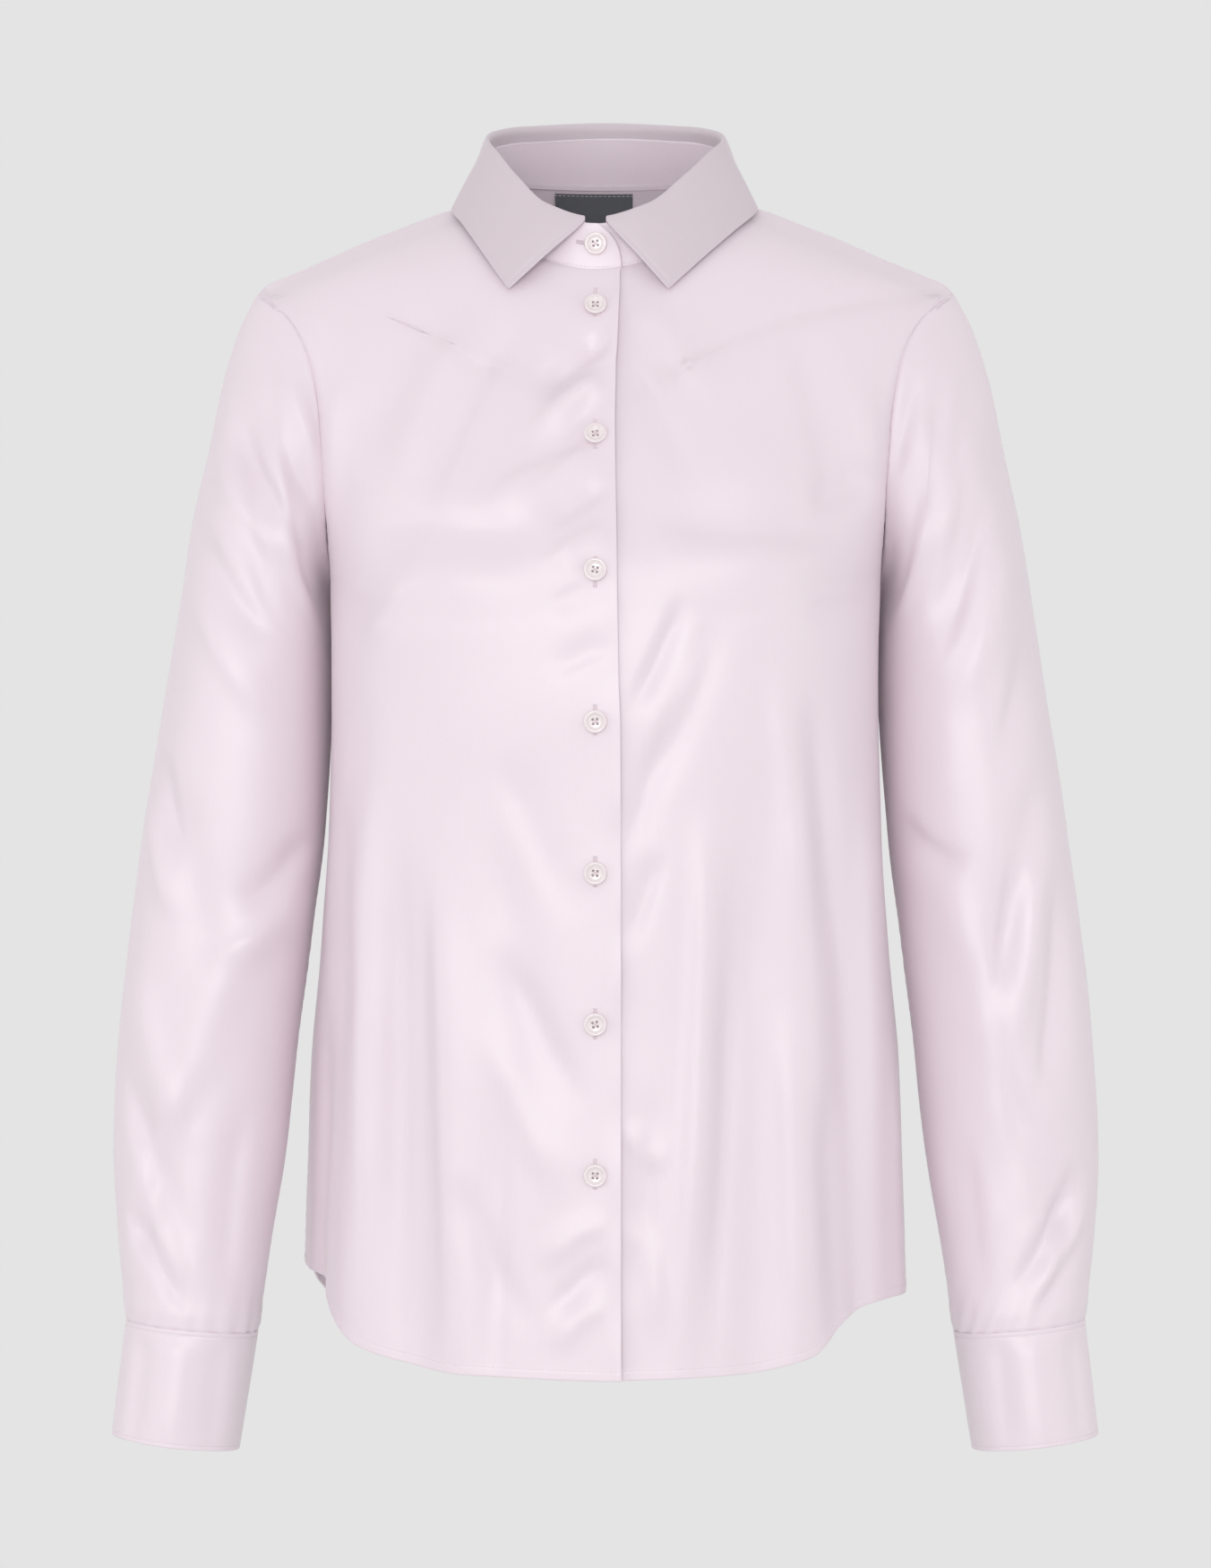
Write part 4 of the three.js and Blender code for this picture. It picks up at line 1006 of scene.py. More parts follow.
def sleeve_cloth(side):
    probe = np.linspace(0, LAST_RING, 121)
    sides = [ring_point(sleeve_table, probe, turn) for turn in (0.0, 180.0)]
    steps = sum(np.linalg.norm(np.diff(line, axis=0), axis=-1) for line in sides) / 2
    walked = np.concatenate([[0.0], np.cumsum(steps)])
    rings = np.interp(spread(walked[-1], 3.0, first=5, last=10) * walked[-1], walked, probe)
    turns = 180 + 360 * spread(360, 2.9, first=4, last=4)[:-1]
    points = sleeve_point(rings[:, None], turns[None, :])
    under_cuff = cuff_point(np.array([[0.01], [0.035], [0.07]]), turns[None, :] % 360, -0.85)
    if side == "right":
        points, under_cuff, turns = mirrored(points), mirrored(under_cuff), turns[::-1]
    cloth = Cloth(points, half_layer(), half_layer(), wrapped=True)
    from_start, around = cloth.lengths(0), cloth.lengths(1)
    from_end = from_start[-1:] - from_start
    from_seam = np.abs((turns % 360) - 180) * around[:, -1:] / 360
    lift = sleeve_lift(cloth.points, cloth.normals(), side) * ease(from_start / 14)
    lift += pucker(around, from_start, 0.3, 8.0, 7.0) + pucker(around, from_end, 0.5, 11.0, 16.0)
    lift += pucker(from_start, from_seam, 0.2, 8.0, 5.0)
    lift -= SEAM_DIP * bell(from_start, 1.2) + 0.45 * bell(from_seam, 1.0)
    lift += 0.5 * bell(from_end - 9, 6.0) - 0.45 * ease(1 - from_end / 1.6)
    cloth.lift(lift)
    cloth.points = np.concatenate([cloth.points, under_cuff])
    return Cloth(cloth.points, half_layer(), half_layer(), wrapped=True)


def placket_cloth(side):
    """The bound slit above the cuff: a band with a pointed top and a folded edge down its middle."""
    down = spread(100, 2.0, first=3, fine=0.5)[:, None]
    share = np.linspace(-1, 1, 25)[None, :]
    start, end = PLACKET_RINGS
    ring = mix(start + 0.28 * np.abs(share) * (1 - down), end, down)
    points = sleeve_point(ring, CUFF_OPENING_TURN + PLACKET_HALF_TURN * share)
    if side == "right":
        points = mirrored(points)
    cloth = Cloth(points, 0.3, 0.3)
    fold = 0.35 * ease((share if side == "left" else -share) * 12)
    cloth.lift(sleeve_lift(points, cloth.normals(), side) + 0.75 + fold)
    return cloth


def cuff_cloth(side):
    down = spread(61, 2.2, first=4, last=3, fine=0.5)[:, None]
    first, whole = CUFF_OPENING_TURN - CUFF_OVERLAP_TURN / 2, 360 + CUFF_OVERLAP_TURN
    turns = first + whole * spread(245, 2.4, first=4, last=4, fine=0.5)[None, :]
    points = cuff_point(down, turns)
    if side == "right":
        points = mirrored(points)
    cloth = Cloth(points, 0.45, 0.5)
    from_top, across = cloth.lengths(0), cloth.lengths(1)
    from_edge = np.minimum(np.minimum(from_top, from_top[-1:] - from_top), across)
    from_edge = np.minimum(from_edge, across[:, -1:] - across)
    lift = crease_lift(points, cloth.normals(), CUFF_CREASES[side], -1) * ease(from_top / 12)
    lift += ripples(cloth.points, 0.35) - 0.16 * bell(from_top - EDGE_STITCH, 0.6)
    cloth.lift(lift - 0.1 * bell(from_edge - EDGE_STITCH, 0.6))
    return cloth


def stand_cloth():
    up = spread(27, 1.7, first=3, last=3, fine=0.5)[:, None]
    first = -STAND_END_TURN + STAND_CORNER_TURN * up**3
    turns = mix(first, 360 - first, spread(410, 2.3, first=3, last=3, fine=0.5)[None, :])
    cloth = Cloth(stand_point(turns, up, foot_lift=-0.6), FOLDED, FOLDED)
    from_foot = cloth.lengths(0)
    lift = ripples(cloth.points, 0.2) - 0.14 * bell(from_foot - EDGE_STITCH, 0.6)
    cloth.lift(lift + pucker(cloth.lengths(1), from_foot, 0.1, 6.0, 4.0))
    return cloth


def fall_cloth():
    turn = mix(FALL_START, 360 - FALL_START, spread(480, 2.3, first=4, last=4, fine=0.5))
    out, foot, roll = neck_outward(turn), collar_point(turn, "stand"), collar_point(turn, "roll")
    foot[..., 2] += 0.4
    crest = roll + np.array([0.0, 0.0, 2.0])
    edge = fall_edge_point(turn)
    middle = (roll + out * ROLL_RADIUS + edge) / 2 + out * FALL_BOW
    knots = [foot, roll - out * ROLL_RADIUS, crest, roll + out * ROLL_RADIUS, middle, edge]
    points = centripetal(knots, spread(64, 1.5, last=4, fine=0.5))[::-1]
    cloth = Cloth(points, FOLDED, FOLDED)
    from_edge, across = cloth.lengths(0), cloth.lengths(1)
    from_end = np.minimum(across, across[:, -1:] - across)
    nearest = np.minimum(from_edge, from_end)
    outside = ease((from_edge[-1:] - from_edge - 12) / 6)
    lift = ripples(cloth.points, 0.3) * outside - 0.2 * bell(nearest - EDGE_STITCH - 0.3, 0.55) * outside
    cloth.lift(lift)
    return cloth


def label_cloth():
    up = spread(LABEL_DROP, 1.2, first=2, last=2, fine=0.5)[:, None]
    share = spread(LABEL_RIGHT - LABEL_LEFT, 1.2, first=2, last=2, fine=0.5)[None, :]
    x, up = np.broadcast_arrays(mix(LABEL_RIGHT, LABEL_LEFT, share), up)
    z = LABEL_TOP - LABEL_DROP * (1 - up)
    turn = turn_at_width(z, x, True)
    loose = 0.75 + 1.1 * ease((1 - up) * 1.6) + 0.25 * np.sin(x / 6.5 + 0.6) * (1 - up)
    return Cloth(torso_point(turn, z) - torso_normal(turn, z) * loose[..., None], 0.22, 0.22)


CLOTH_MAKERS = {
    "front_right": lambda: front_cloth("right"),
    "front_left": lambda: front_cloth("left"),
    "back": back_cloth,
    "sleeve_right": lambda: sleeve_cloth("right"),
    "sleeve_left": lambda: sleeve_cloth("left"),
    "sleeve_placket_right": lambda: placket_cloth("right"),
    "sleeve_placket_left": lambda: placket_cloth("left"),
    "cuff_right": lambda: cuff_cloth("right"),
    "cuff_left": lambda: cuff_cloth("left"),
    "collar_stand": stand_cloth,
    "collar_fall": fall_cloth,
    "neck_label": label_cloth,
}
cloths = {}


def cloth_of(node):
    """The finished grid of a piece of cloth, made once."""
    if node not in cloths:
        cloths[node] = CLOTH_MAKERS[node]()
    return cloths[node]


# Shader groups and materials

def wire(tree, source, target):
    tree.links.new(source, target)


def value_node(tree, operation, a, b=None):
    """A Math node with each input a number or another node's output."""
    node = tree.nodes.new("ShaderNodeMath")
    node.operation = operation
    for socket, value in zip(node.inputs, (a, b)):
        if value is None:
            continue
        if isinstance(value, (int, float)):
            socket.default_value = value
        else:
            wire(tree, value, socket)
    return node.outputs[0]


def group_of(name, inputs, outputs):
    """A new shader group with its named inputs and outputs."""
    tree = bpy.data.node_groups.new(name, "ShaderNodeTree")
    for label, kind, default in inputs:
        socket = tree.interface.new_socket(name=label, in_out="INPUT", socket_type=kind)
        if default is not None:
            socket.default_value = default
    for label, kind in outputs:
        tree.interface.new_socket(name=label, in_out="OUTPUT", socket_type=kind)
    return tree, tree.nodes.new("NodeGroupInput"), tree.nodes.new("NodeGroupOutput")


def weave_group():
    """Satin weave in the cloth's own UV map: long floats side by side, bound in slanting steps."""
    name = "Satin Weave"
    if name in bpy.data.node_groups:
        return bpy.data.node_groups[name]
    tree, entry, leave = group_of(
        name,
        (("Place", "NodeSocketVector", None), ("Thread Pitch", "NodeSocketFloat", 0.00035)),
        (("Height", "NodeSocketFloat"),),
    )
    split = tree.nodes.new("ShaderNodeSeparateXYZ")
    wire(tree, entry.outputs["Place"], split.inputs[0])
    turns = [value_node(tree, "DIVIDE", split.outputs[k], entry.outputs["Thread Pitch"]) for k in range(2)]
    angles = [value_node(tree, "MULTIPLY", turn, 2 * math.pi) for turn in turns]
    float_rib = value_node(tree, "SINE", angles[0])
    slant = value_node(tree, "MULTIPLY", angles[1], 0.4)
    binding = value_node(tree, "SINE", value_node(tree, "ADD", angles[0], slant))
    both = value_node(tree, "MULTIPLY_ADD", binding, 0.5)
    wire(tree, float_rib, both.node.inputs[2])
    wire(tree, value_node(tree, "MULTIPLY_ADD", both, 0.33), leave.inputs["Height"])
    return tree


def slub_group():
    """Threads a little thicker or paler than their neighbours, along the cloth, and slow changes over it."""
    name = "Uneven Threads"
    if name in bpy.data.node_groups:
        return bpy.data.node_groups[name]
    tree, entry, leave = group_of(
        name,
        (
            ("Place", "NodeSocketVector", None),
            ("Across", "NodeSocketFloat", 700.0),
            ("Along", "NodeSocketFloat", 22.0),
        ),
        (("Threads", "NodeSocketFloat"), ("Cloud", "NodeSocketFloat")),
    )
    stretch = tree.nodes.new("ShaderNodeCombineXYZ")
    wire(tree, entry.outputs["Across"], stretch.inputs[0])
    wire(tree, entry.outputs["Along"], stretch.inputs[1])
    place = tree.nodes.new("ShaderNodeVectorMath")
    place.operation = "MULTIPLY"
    wire(tree, entry.outputs["Place"], place.inputs[0])
    wire(tree, stretch.outputs[0], place.inputs[1])
    wire(tree, noise_of(tree, place.outputs[0], 1.0, 3.0), leave.inputs["Threads"])
    wire(tree, noise_of(tree, entry.outputs["Place"], 14.0, 4.0), leave.inputs["Cloud"])
    return tree


def noise_of(tree, place, scale, detail=2.0, distortion=0.0):
    noise = tree.nodes.new("ShaderNodeTexNoise")
    for name, value in (("Scale", scale), ("Detail", detail), ("Distortion", distortion)):
        noise.inputs[name].default_value = value
    wire(tree, place, noise.inputs["Vector"])
    return noise.outputs[0]


def object_place(tree):
    return tree.nodes.new("ShaderNodeTexCoord").outputs["Object"]


def mixed_colour(tree, share, dark, light):
    node = tree.nodes.new("ShaderNodeMix")
    node.data_type = "RGBA"
    wire(tree, share, node.inputs["Factor"])
    node.inputs["A"].default_value = (*dark, 1)
    node.inputs["B"].default_value = (*light, 1)
    return node.outputs["Result"]


def shaded(colour, factor):
    return tuple(min(1.0, channel * factor) for channel in colour[:3])


def new_material(name):
    """An empty material with its Principled shader."""
    material = bpy.data.materials.new(name)
    material.use_nodes = True
    return material, material.node_tree, material.node_tree.nodes["Principled BSDF"]


def bump_of(tree, shader, height, distance):
    bump = tree.nodes.new("ShaderNodeBump")
    bump.inputs["Distance"].default_value = distance
    bump.inputs["Strength"].default_value = 1.0
    wire(tree, height, bump.inputs["Height"])
    wire(tree, bump.outputs[0], shader.inputs["Normal"])


def woven_material(name, colour, pitch, depth, roughness, across, along, contrast):
    """Woven cloth: satin floats as fine relief, uneven threads in its colour and gloss."""
    if name in bpy.data.materials:
        return bpy.data.materials[name]
    material, tree, shader = new_material(name)
    place = tree.nodes.new("ShaderNodeUVMap")
    place.uv_map = "cloth"
    weave = tree.nodes.new("ShaderNodeGroup")
    weave.node_tree = weave_group()
    weave.inputs["Thread Pitch"].default_value = pitch
    slubs = tree.nodes.new("ShaderNodeGroup")
    slubs.node_tree = slub_group()
    slubs.inputs["Across"].default_value = across
    slubs.inputs["Along"].default_value = along
    for group in (weave, slubs):
        wire(tree, place.outputs[0], group.inputs["Place"])
    threads, cloud = slubs.outputs["Threads"], slubs.outputs["Cloud"]
    share = value_node(tree, "MULTIPLY_ADD", cloud, 0.4)
    wire(tree, value_node(tree, "MULTIPLY", threads, 0.6), share.node.inputs[2])
    light, dark = shaded(colour, 1 + contrast), shaded(colour, 1 - contrast)
    wire(tree, mixed_colour(tree, share, dark, light), shader.inputs["Base Color"])
    rough = value_node(tree, "MULTIPLY_ADD", threads, 0.12)
    rough.node.inputs[2].default_value = roughness - 0.06
    wire(tree, rough, shader.inputs["Roughness"])
    relief = value_node(tree, "MULTIPLY_ADD", threads, 0.8)
    wire(tree, weave.outputs["Height"], relief.node.inputs[2])
    bump_of(tree, shader, relief, depth)
    return material


def satin_material(name="Cotton satin", tone=1.0):
    """The shirt's cloth. A tone above one is painted light, as on the stand; below one, painted shade, as on
    the fall, which is cut across the grain and less glossy.
    """
    # A tone other than one gives painted light or painted shade in the colour.
    colour = shaded(bpy.context.scene.shirt_colours.cloth, tone)
    material = woven_material(name, colour, 0.00034, 0.00003, 0.36, 700, 22, 0.02)
    shader = material.node_tree.nodes["Principled BSDF"]
    shader.inputs["Sheen Weight"].default_value = 0.22
    shader.inputs["Sheen Roughness"].default_value = 0.35
    shader.inputs["Specular IOR Level"].default_value = 1.0 if tone >= 1 else 0.5
    return material


def label_material():
    colour = bpy.context.scene.shirt_colours.label
    return woven_material("Label weave", colour, 0.00045, 0.00008, 0.68, 1400, 1400, 0.12)


def thread_material():
    """Sewing thread: two plies twisted together, matched to the cloth."""
    name = "Sewing thread"
    if name in bpy.data.materials:
        return bpy.data.materials[name]
    colour = bpy.context.scene.shirt_colours.thread
    material, tree, shader = new_material(name)
    noise = noise_of(tree, object_place(tree), 2600.0)
    mixed = mixed_colour(tree, noise, shaded(colour, 0.9), shaded(colour, 1.05))
    wire(tree, mixed, shader.inputs["Base Color"])
    bump_of(tree, shader, noise, 0.00004)
    shader.inputs["Roughness"].default_value = 0.5
    return material


def shell_material():
    """Polished shell: pale, with soft clouds and growth lines just under the gloss."""
    name = "Shell button"
    if name in bpy.data.materials:
        return bpy.data.materials[name]
    colour = bpy.context.scene.shirt_colours.button
    material, tree, shader = new_material(name)
    place = object_place(tree)
    cloud, lines = noise_of(tree, place, 260.0, 3.0), noise_of(tree, place, 90.0, distortion=1.6)
    share = value_node(tree, "MULTIPLY_ADD", cloud, 0.6)
    wire(tree, value_node(tree, "MULTIPLY", lines, 0.4), share.node.inputs[2])
    pink = (colour[0] * 0.9, colour[1] * 0.84, colour[2] * 0.85)
    wire(tree, mixed_colour(tree, share, pink, shaded(colour, 1.03)), shader.inputs["Base Color"])
    rough = value_node(tree, "MULTIPLY_ADD", cloud, 0.1)
    rough.node.inputs[2].default_value = 0.16
    wire(tree, rough, shader.inputs["Roughness"])
    bump_of(tree, shader, lines, 0.00002)
    shader.inputs["Coat Weight"].default_value = 0.5
    shader.inputs["Coat Roughness"].default_value = 0.08
    return material


def paper_material():
    """The plain pale floor."""
    name = "Studio floor"
    if name in bpy.data.materials:
        return bpy.data.materials[name]
    material, tree, shader = new_material(name)
    tone = bpy.context.scene.shirt_colours.floor
    noise = noise_of(tree, object_place(tree), 3.0)
    mixed = mixed_colour(tree, noise, shaded(tone, 0.99), shaded(tone, 1.01))
    wire(tree, mixed, shader.inputs["Base Color"])
    shader.inputs["Roughness"].default_value = 0.9
    return material


# Objects

def link_object(name, data, material):
    """Puts a mesh in the scene under a name, in place of an earlier one of that name."""
    if name in bpy.data.objects:
        bpy.data.objects.remove(bpy.data.objects[name])
    obj = bpy.data.objects.new(name, data)
    bpy.context.scene.collection.objects.link(obj)
    if material:
        data.materials.clear()
        data.materials.append(material)
    return obj


def attach(obj, nodes=()):
    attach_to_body(obj, "root")
    if nodes:
        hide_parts(*nodes)
    return obj


def make_sheet(node, material):
    """Makes one piece of cloth, in place of its solid, and works out its cut."""
    cloths.pop(node, None)
    cloth = cloth_of(node)
    name = f"cloth_{node}"
    mesh = cloth.mesh(name)
    mesh.set_sharp_from_angle(angle=math.radians(70))
    obj = attach(link_object(name, mesh, material), (node,))
    flat, area = cloth.cut()
    min(area, flat[0] * flat[1])
    return obj


def stitch_tree():
    """Geometry Nodes: stitches one after another along each line of the input mesh."""
    name = "Stitch Line"
    if name in bpy.data.node_groups:
        return bpy.data.node_groups[name]
    tree = bpy.data.node_groups.new(name, "GeometryNodeTree")
    kinds = {
        "Lines": "NodeSocketGeometry",
        "Stitch Length": "NodeSocketFloat",
        "Stitch Pitch": "NodeSocketFloat",
        "Thread Width": "NodeSocketFloat",
        "Facing": "NodeSocketVector",
        "Across": "NodeSocketBool",
        "Seed": "NodeSocketInt",
        "Thread": "NodeSocketMaterial",
    }
    for label, kind in kinds.items():
        tree.interface.new_socket(name=label, in_out="INPUT", socket_type=kind)
    tree.interface.new_socket(name="Stitches", in_out="OUTPUT", socket_type="NodeSocketGeometry")
    node = tree.nodes.new
    entry, leave = node("NodeGroupInput"), node("NodeGroupOutput")
    to_curve = node("GeometryNodeMeshToCurve")
    wire(tree, entry.outputs["Lines"], to_curve.inputs["Mesh"])
    resample = node("GeometryNodeResampleCurve")
    resample.mode = "LENGTH"
    wire(tree, to_curve.outputs[0], resample.inputs["Curve"])
    wire(tree, entry.outputs["Stitch Pitch"], resample.inputs["Length"])
    tangent = node("GeometryNodeInputTangent")
    across = node("ShaderNodeVectorMath")
    across.operation = "CROSS_PRODUCT"
    wire(tree, tangent.outputs[0], across.inputs[0])
    wire(tree, entry.outputs["Facing"], across.inputs[1])
    way = node("GeometryNodeSwitch")
    way.input_type = "VECTOR"
    wire(tree, entry.outputs["Across"], way.inputs["Switch"])
    wire(tree, tangent.outputs[0], way.inputs["False"])
    wire(tree, across.outputs[0], way.inputs["True"])
    aim = node("FunctionNodeAlignRotationToVector")
    aim.axis = "Z"
    wire(tree, way.outputs[0], aim.inputs["Vector"])
    uneven = node("FunctionNodeRandomValue")
    uneven.data_type = "FLOAT"
    uneven.inputs[2].default_value = 0.9
    uneven.inputs[3].default_value = 1.08
    wire(tree, entry.outputs["Seed"], uneven.inputs["Seed"])
    length = node("ShaderNodeMath")
    length.operation = "MULTIPLY"
    wire(tree, entry.outputs["Stitch Length"], length.inputs[0])
    wire(tree, uneven.outputs[1], length.inputs[1])
    size = node("ShaderNodeCombineXYZ")
    wire(tree, entry.outputs["Thread Width"], size.inputs[0])
    wire(tree, entry.outputs["Thread Width"], size.inputs[1])
    wire(tree, length.outputs[0], size.inputs[2])
    stitch = node("GeometryNodeMeshUVSphere")
    stitch.inputs["Segments"].default_value = 6
    stitch.inputs["Rings"].default_value = 5
    stitch.inputs["Radius"].default_value = 0.5
    place = node("GeometryNodeInstanceOnPoints")
    wire(tree, resample.outputs[0], place.inputs["Points"])
    wire(tree, stitch.outputs["Mesh"], place.inputs["Instance"])
    wire(tree, aim.outputs[0], place.inputs["Rotation"])
    wire(tree, size.outputs[0], place.inputs["Scale"])
    realize = node("GeometryNodeRealizeInstances")
    wire(tree, place.outputs[0], realize.inputs[0])
    smooth = node("GeometryNodeSetShadeSmooth")
    wire(tree, realize.outputs[0], smooth.inputs[0])
    finish = node("GeometryNodeSetMaterial")
    wire(tree, smooth.outputs[0], finish.inputs["Geometry"])
    wire(tree, entry.outputs["Thread"], finish.inputs["Material"])
    wire(tree, finish.outputs[0], leave.inputs["Stitches"])
    return tree


def stitching(name, lines, length, pitch, width, facing=(0, -1, 0), across=False, seed=3):
    """Sews along lines, each an array of points in millimetres, and gives one plain mesh."""
    mesh = bpy.data.meshes.new(name)
    edges, start = [], 0
    for line in lines:
        edges += [(start + k, start + k + 1) for k in range(len(line) - 1)]
        start += len(line)
    mesh.from_pydata((np.concatenate(lines) * MM).tolist(), edges, [])
    material = thread_material()
    obj = link_object(name, mesh, None)
    tree = stitch_tree()
    sew = obj.modifiers.new("Stitches", "NODES")
    sew.node_group = tree
    values = {
        "Stitch Length": length,
        "Stitch Pitch": pitch,
        "Thread Width": width,
        "Facing": facing,
        "Across": across,
        "Seed": seed,
        "Thread": material,
    }
    for socket in tree.interface.items_tree:
        if socket.in_out == "INPUT" and socket.name in values:
            sew[socket.identifier] = values[socket.name]
    bpy.context.view_layer.update()
    view = bpy.context.evaluated_depsgraph_get()
    sewn = bpy.data.meshes.new_from_object(obj.evaluated_get(view))
    obj.modifiers.remove(sew)
    obj.data = sewn
    sewn.name = name
    bpy.data.meshes.remove(mesh)
    if not sewn.polygons:
        raise RuntimeError(f"{name}: no stitches were made")
    return attach(obj)


def sewn(name, lines, seed=3):
    sizes = bpy.context.scene.shirt_sizes
    pitch = sizes.stitch_length + sizes.stitch_gap
    return stitching(name, lines, sizes.stitch_length, pitch, sizes.thread_width, seed=seed)


def face_at(cloth, x, z):
    """Points on the outer face of a front at places seen from the front."""
    points, normals = cloth.points, cloth.normals()
    face = (points + normals * cloth.outer[..., None]).reshape(-1, 3)
    normals = normals.reshape(-1, 3)
    found = []
    for px, pz in zip(np.atleast_1d(x), np.atleast_1d(z)):
        k = np.argmin((face[:, 0] - px) ** 2 + (face[:, 2] - pz) ** 2 + (face[:, 1] > 40) * 1e6)
        (vx, vy, vz), (nx, ny, nz) = face[k], normals[k]
        found.append((px, vy - ((px - vx) * nx + (pz - vz) * nz) / ny, pz))
    return np.array(found)


# Buttons

# Radius and height of points on a button, from the middle of its back to the middle of its face
BUTTON_PROFILE = (
    (0.0, 0.0),
    (4.6, 0.0),
    (5.35, 0.25),
    (5.85, 0.85),
    (6.0, 1.5),
    (5.88, 2.0),
    (5.6, 2.3),
    (5.2, 2.4),
    (4.85, 2.3),
    (4.72, 2.0),
    (4.56, 2.0),
    (4.42, 2.14),
    (4.2, 2.0),
    (3.95, 1.6),
    (3.5, 1.35),
    (2.8, 1.25),
    (0.0, 1.2),
)
BUTTON_HOLE_RADIUS, BUTTON_HOLE_FROM_MIDDLE = 0.72, 1.6
BUTTON_BACK_GAP = 0.9


def button_shape():
    """A four-hole button with a raised rim, its back on the origin and its face towards +Z, in metres."""
    shape = bmesh.new()
    profile = [shape.verts.new((r * MM, 0, h * MM)) for r, h in BUTTON_PROFILE]
    edges = [shape.edges.new(pair) for pair in zip(profile, profile[1:])]
    turned = {"axis": (0, 0, 1), "cent": (0, 0, 0), "steps": 40, "angle": 2 * math.pi}
    bmesh.ops.spin(shape, geom=profile + edges, use_merge=True, **turned)
    bmesh.ops.remove_doubles(shape, verts=shape.verts, dist=1e-6)
    bmesh.ops.recalc_face_normals(shape, faces=shape.faces)
    mesh = bpy.data.meshes.new("button")
    shape.to_mesh(mesh)
    shape.free()
    cutter = bmesh.new()
    for k in range(4):
        angle = math.radians(45 + 90 * k)
        place = Matrix.Translation(
            (
                math.cos(angle) * BUTTON_HOLE_FROM_MIDDLE * MM,
                math.sin(angle) * BUTTON_HOLE_FROM_MIDDLE * MM,
                1.0 * MM,
            )
        )
        bmesh.ops.create_cone(
            cutter,
            cap_ends=True,
            segments=14,
            radius1=BUTTON_HOLE_RADIUS * MM,
            radius2=BUTTON_HOLE_RADIUS * MM,
            depth=6 * MM,
            matrix=place,
        )
    holes = bpy.data.meshes.new("button_holes")
    cutter.to_mesh(holes)
    cutter.free()
    blank, drill = link_object("button_blank", mesh, None), link_object("button_drill", holes, None)
    cut = blank.modifiers.new("Holes", "BOOLEAN")
    cut.operation, cut.solver, cut.object = "DIFFERENCE", "EXACT", drill
    view = bpy.context.evaluated_depsgraph_get()
    drilled = bpy.data.meshes.new_from_object(blank.evaluated_get(view))
    for obj in (blank, drill):
        bpy.data.objects.remove(obj)
    drilled.shade_smooth()
    drilled.set_sharp_from_angle(angle=math.radians(40))
    return drilled


def button_places():
    """Each button's node with the point on its back and the way its face looks, in millimetres."""
    places = {}
    for k in range(1, 8):
        node = f"button_{k}"
        z = box_centre(node)[2]
        normal = torso_normal(turn_at_width(z, BUTTON_LINE_X), z)
        z = z - normal[2] * 1.2
        turn = turn_at_width(z, BUTTON_LINE_X)
        places[node] = (torso_point(turn, z, closing_step("right", turn, z) + BUTTON_BACK_GAP), normal)
    turn = np.array(360.0)
    places["button_stand"] = (stand_point(turn, 0.55, further=BUTTON_BACK_GAP), stand_normal(turn))
    last, middle = CUFF_OPENING_TURN + 360, np.array(0.5)
    for side, sign in (("left", 1), ("right", -1)):
        place, above = cuff_point(middle, last, 1.2), cuff_point(middle, last, 2.2)
        flip = np.array([sign, 1, 1])
        places[f"cuff_button_{side}"] = (place * flip, unit(above - place) * flip)
    return places


def stand_normal(turn):
    across = stand_point(turn + 3, 0.55) - stand_point(turn, 0.55)
    up = stand_point(turn, 0.7) - stand_point(turn, 0.55)
    return unit(np.cross(across, up))


def standing_at(place, normal, turn=0.0):
    """A matrix that puts something made on the origin, facing +Z, at a place on the shirt."""
    facing = Vector(normal)
    side = Vector((0, 0, 1)).cross(facing).normalized()
    up = facing.cross(side)
    axes = Matrix((side, up, facing)).transposed().to_4x4()
    return Matrix.Translation(Vector(place) * MM) @ axes @ Matrix.Rotation(math.radians(turn), 4, "Z")


def thread_cross():
    """Thread that holds a button: a strand between each pair of holes across it, and the shank below."""
    strands = []
    for k in range(2):
        angle = math.radians(45 + 90 * k)
        share = np.linspace(-1, 1, 9)
        reach = share * BUTTON_HOLE_FROM_MIDDLE
        height = 1.26 + 0.32 * (1 - share**2) + 0.12 * k
        height[[0, -1]] = 0.6
        strands.append(np.stack([reach * math.cos(angle), reach * math.sin(angle), height], axis=-1))
    return strands


def tube(points, radius, sides=6):
    """Vertices and faces of a round thread along points, in millimetres."""
    points = np.asarray(points, float)
    way = unit(np.gradient(points, axis=0))
    side = unit(np.cross(way, np.array([0.3, 0.9, 0.31])))
    over = np.cross(way, side)
    angle = np.linspace(0, 2 * np.pi, sides, endpoint=False)
    ring = side[:, None] * np.cos(angle)[:, None] + over[:, None] * np.sin(angle)[:, None]
    vertices = (points[:, None] + ring * radius).reshape(-1, 3)
    rows = len(points)
    faces = [
        (i * sides + k, i * sides + (k + 1) % sides, (i + 1) * sides + (k + 1) % sides, (i + 1) * sides + k)
        for i in range(rows - 1)
        for k in range(sides)
    ]
    faces += [tuple(range(sides))[::-1], tuple((rows - 1) * sides + k for k in range(sides))]
    return vertices, faces


# Settings that a user would change

def length_setting(name, about, default, low, high, precision=5):
    return bpy.props.FloatProperty(
        name=name, description=about, default=default, min=low, max=high, precision=precision, unit="LENGTH"
    )


def colour_setting(name, about, default):
    return bpy.props.FloatVectorProperty(
        name=name, description=about, default=default, min=0, max=1, subtype="COLOR"
    )


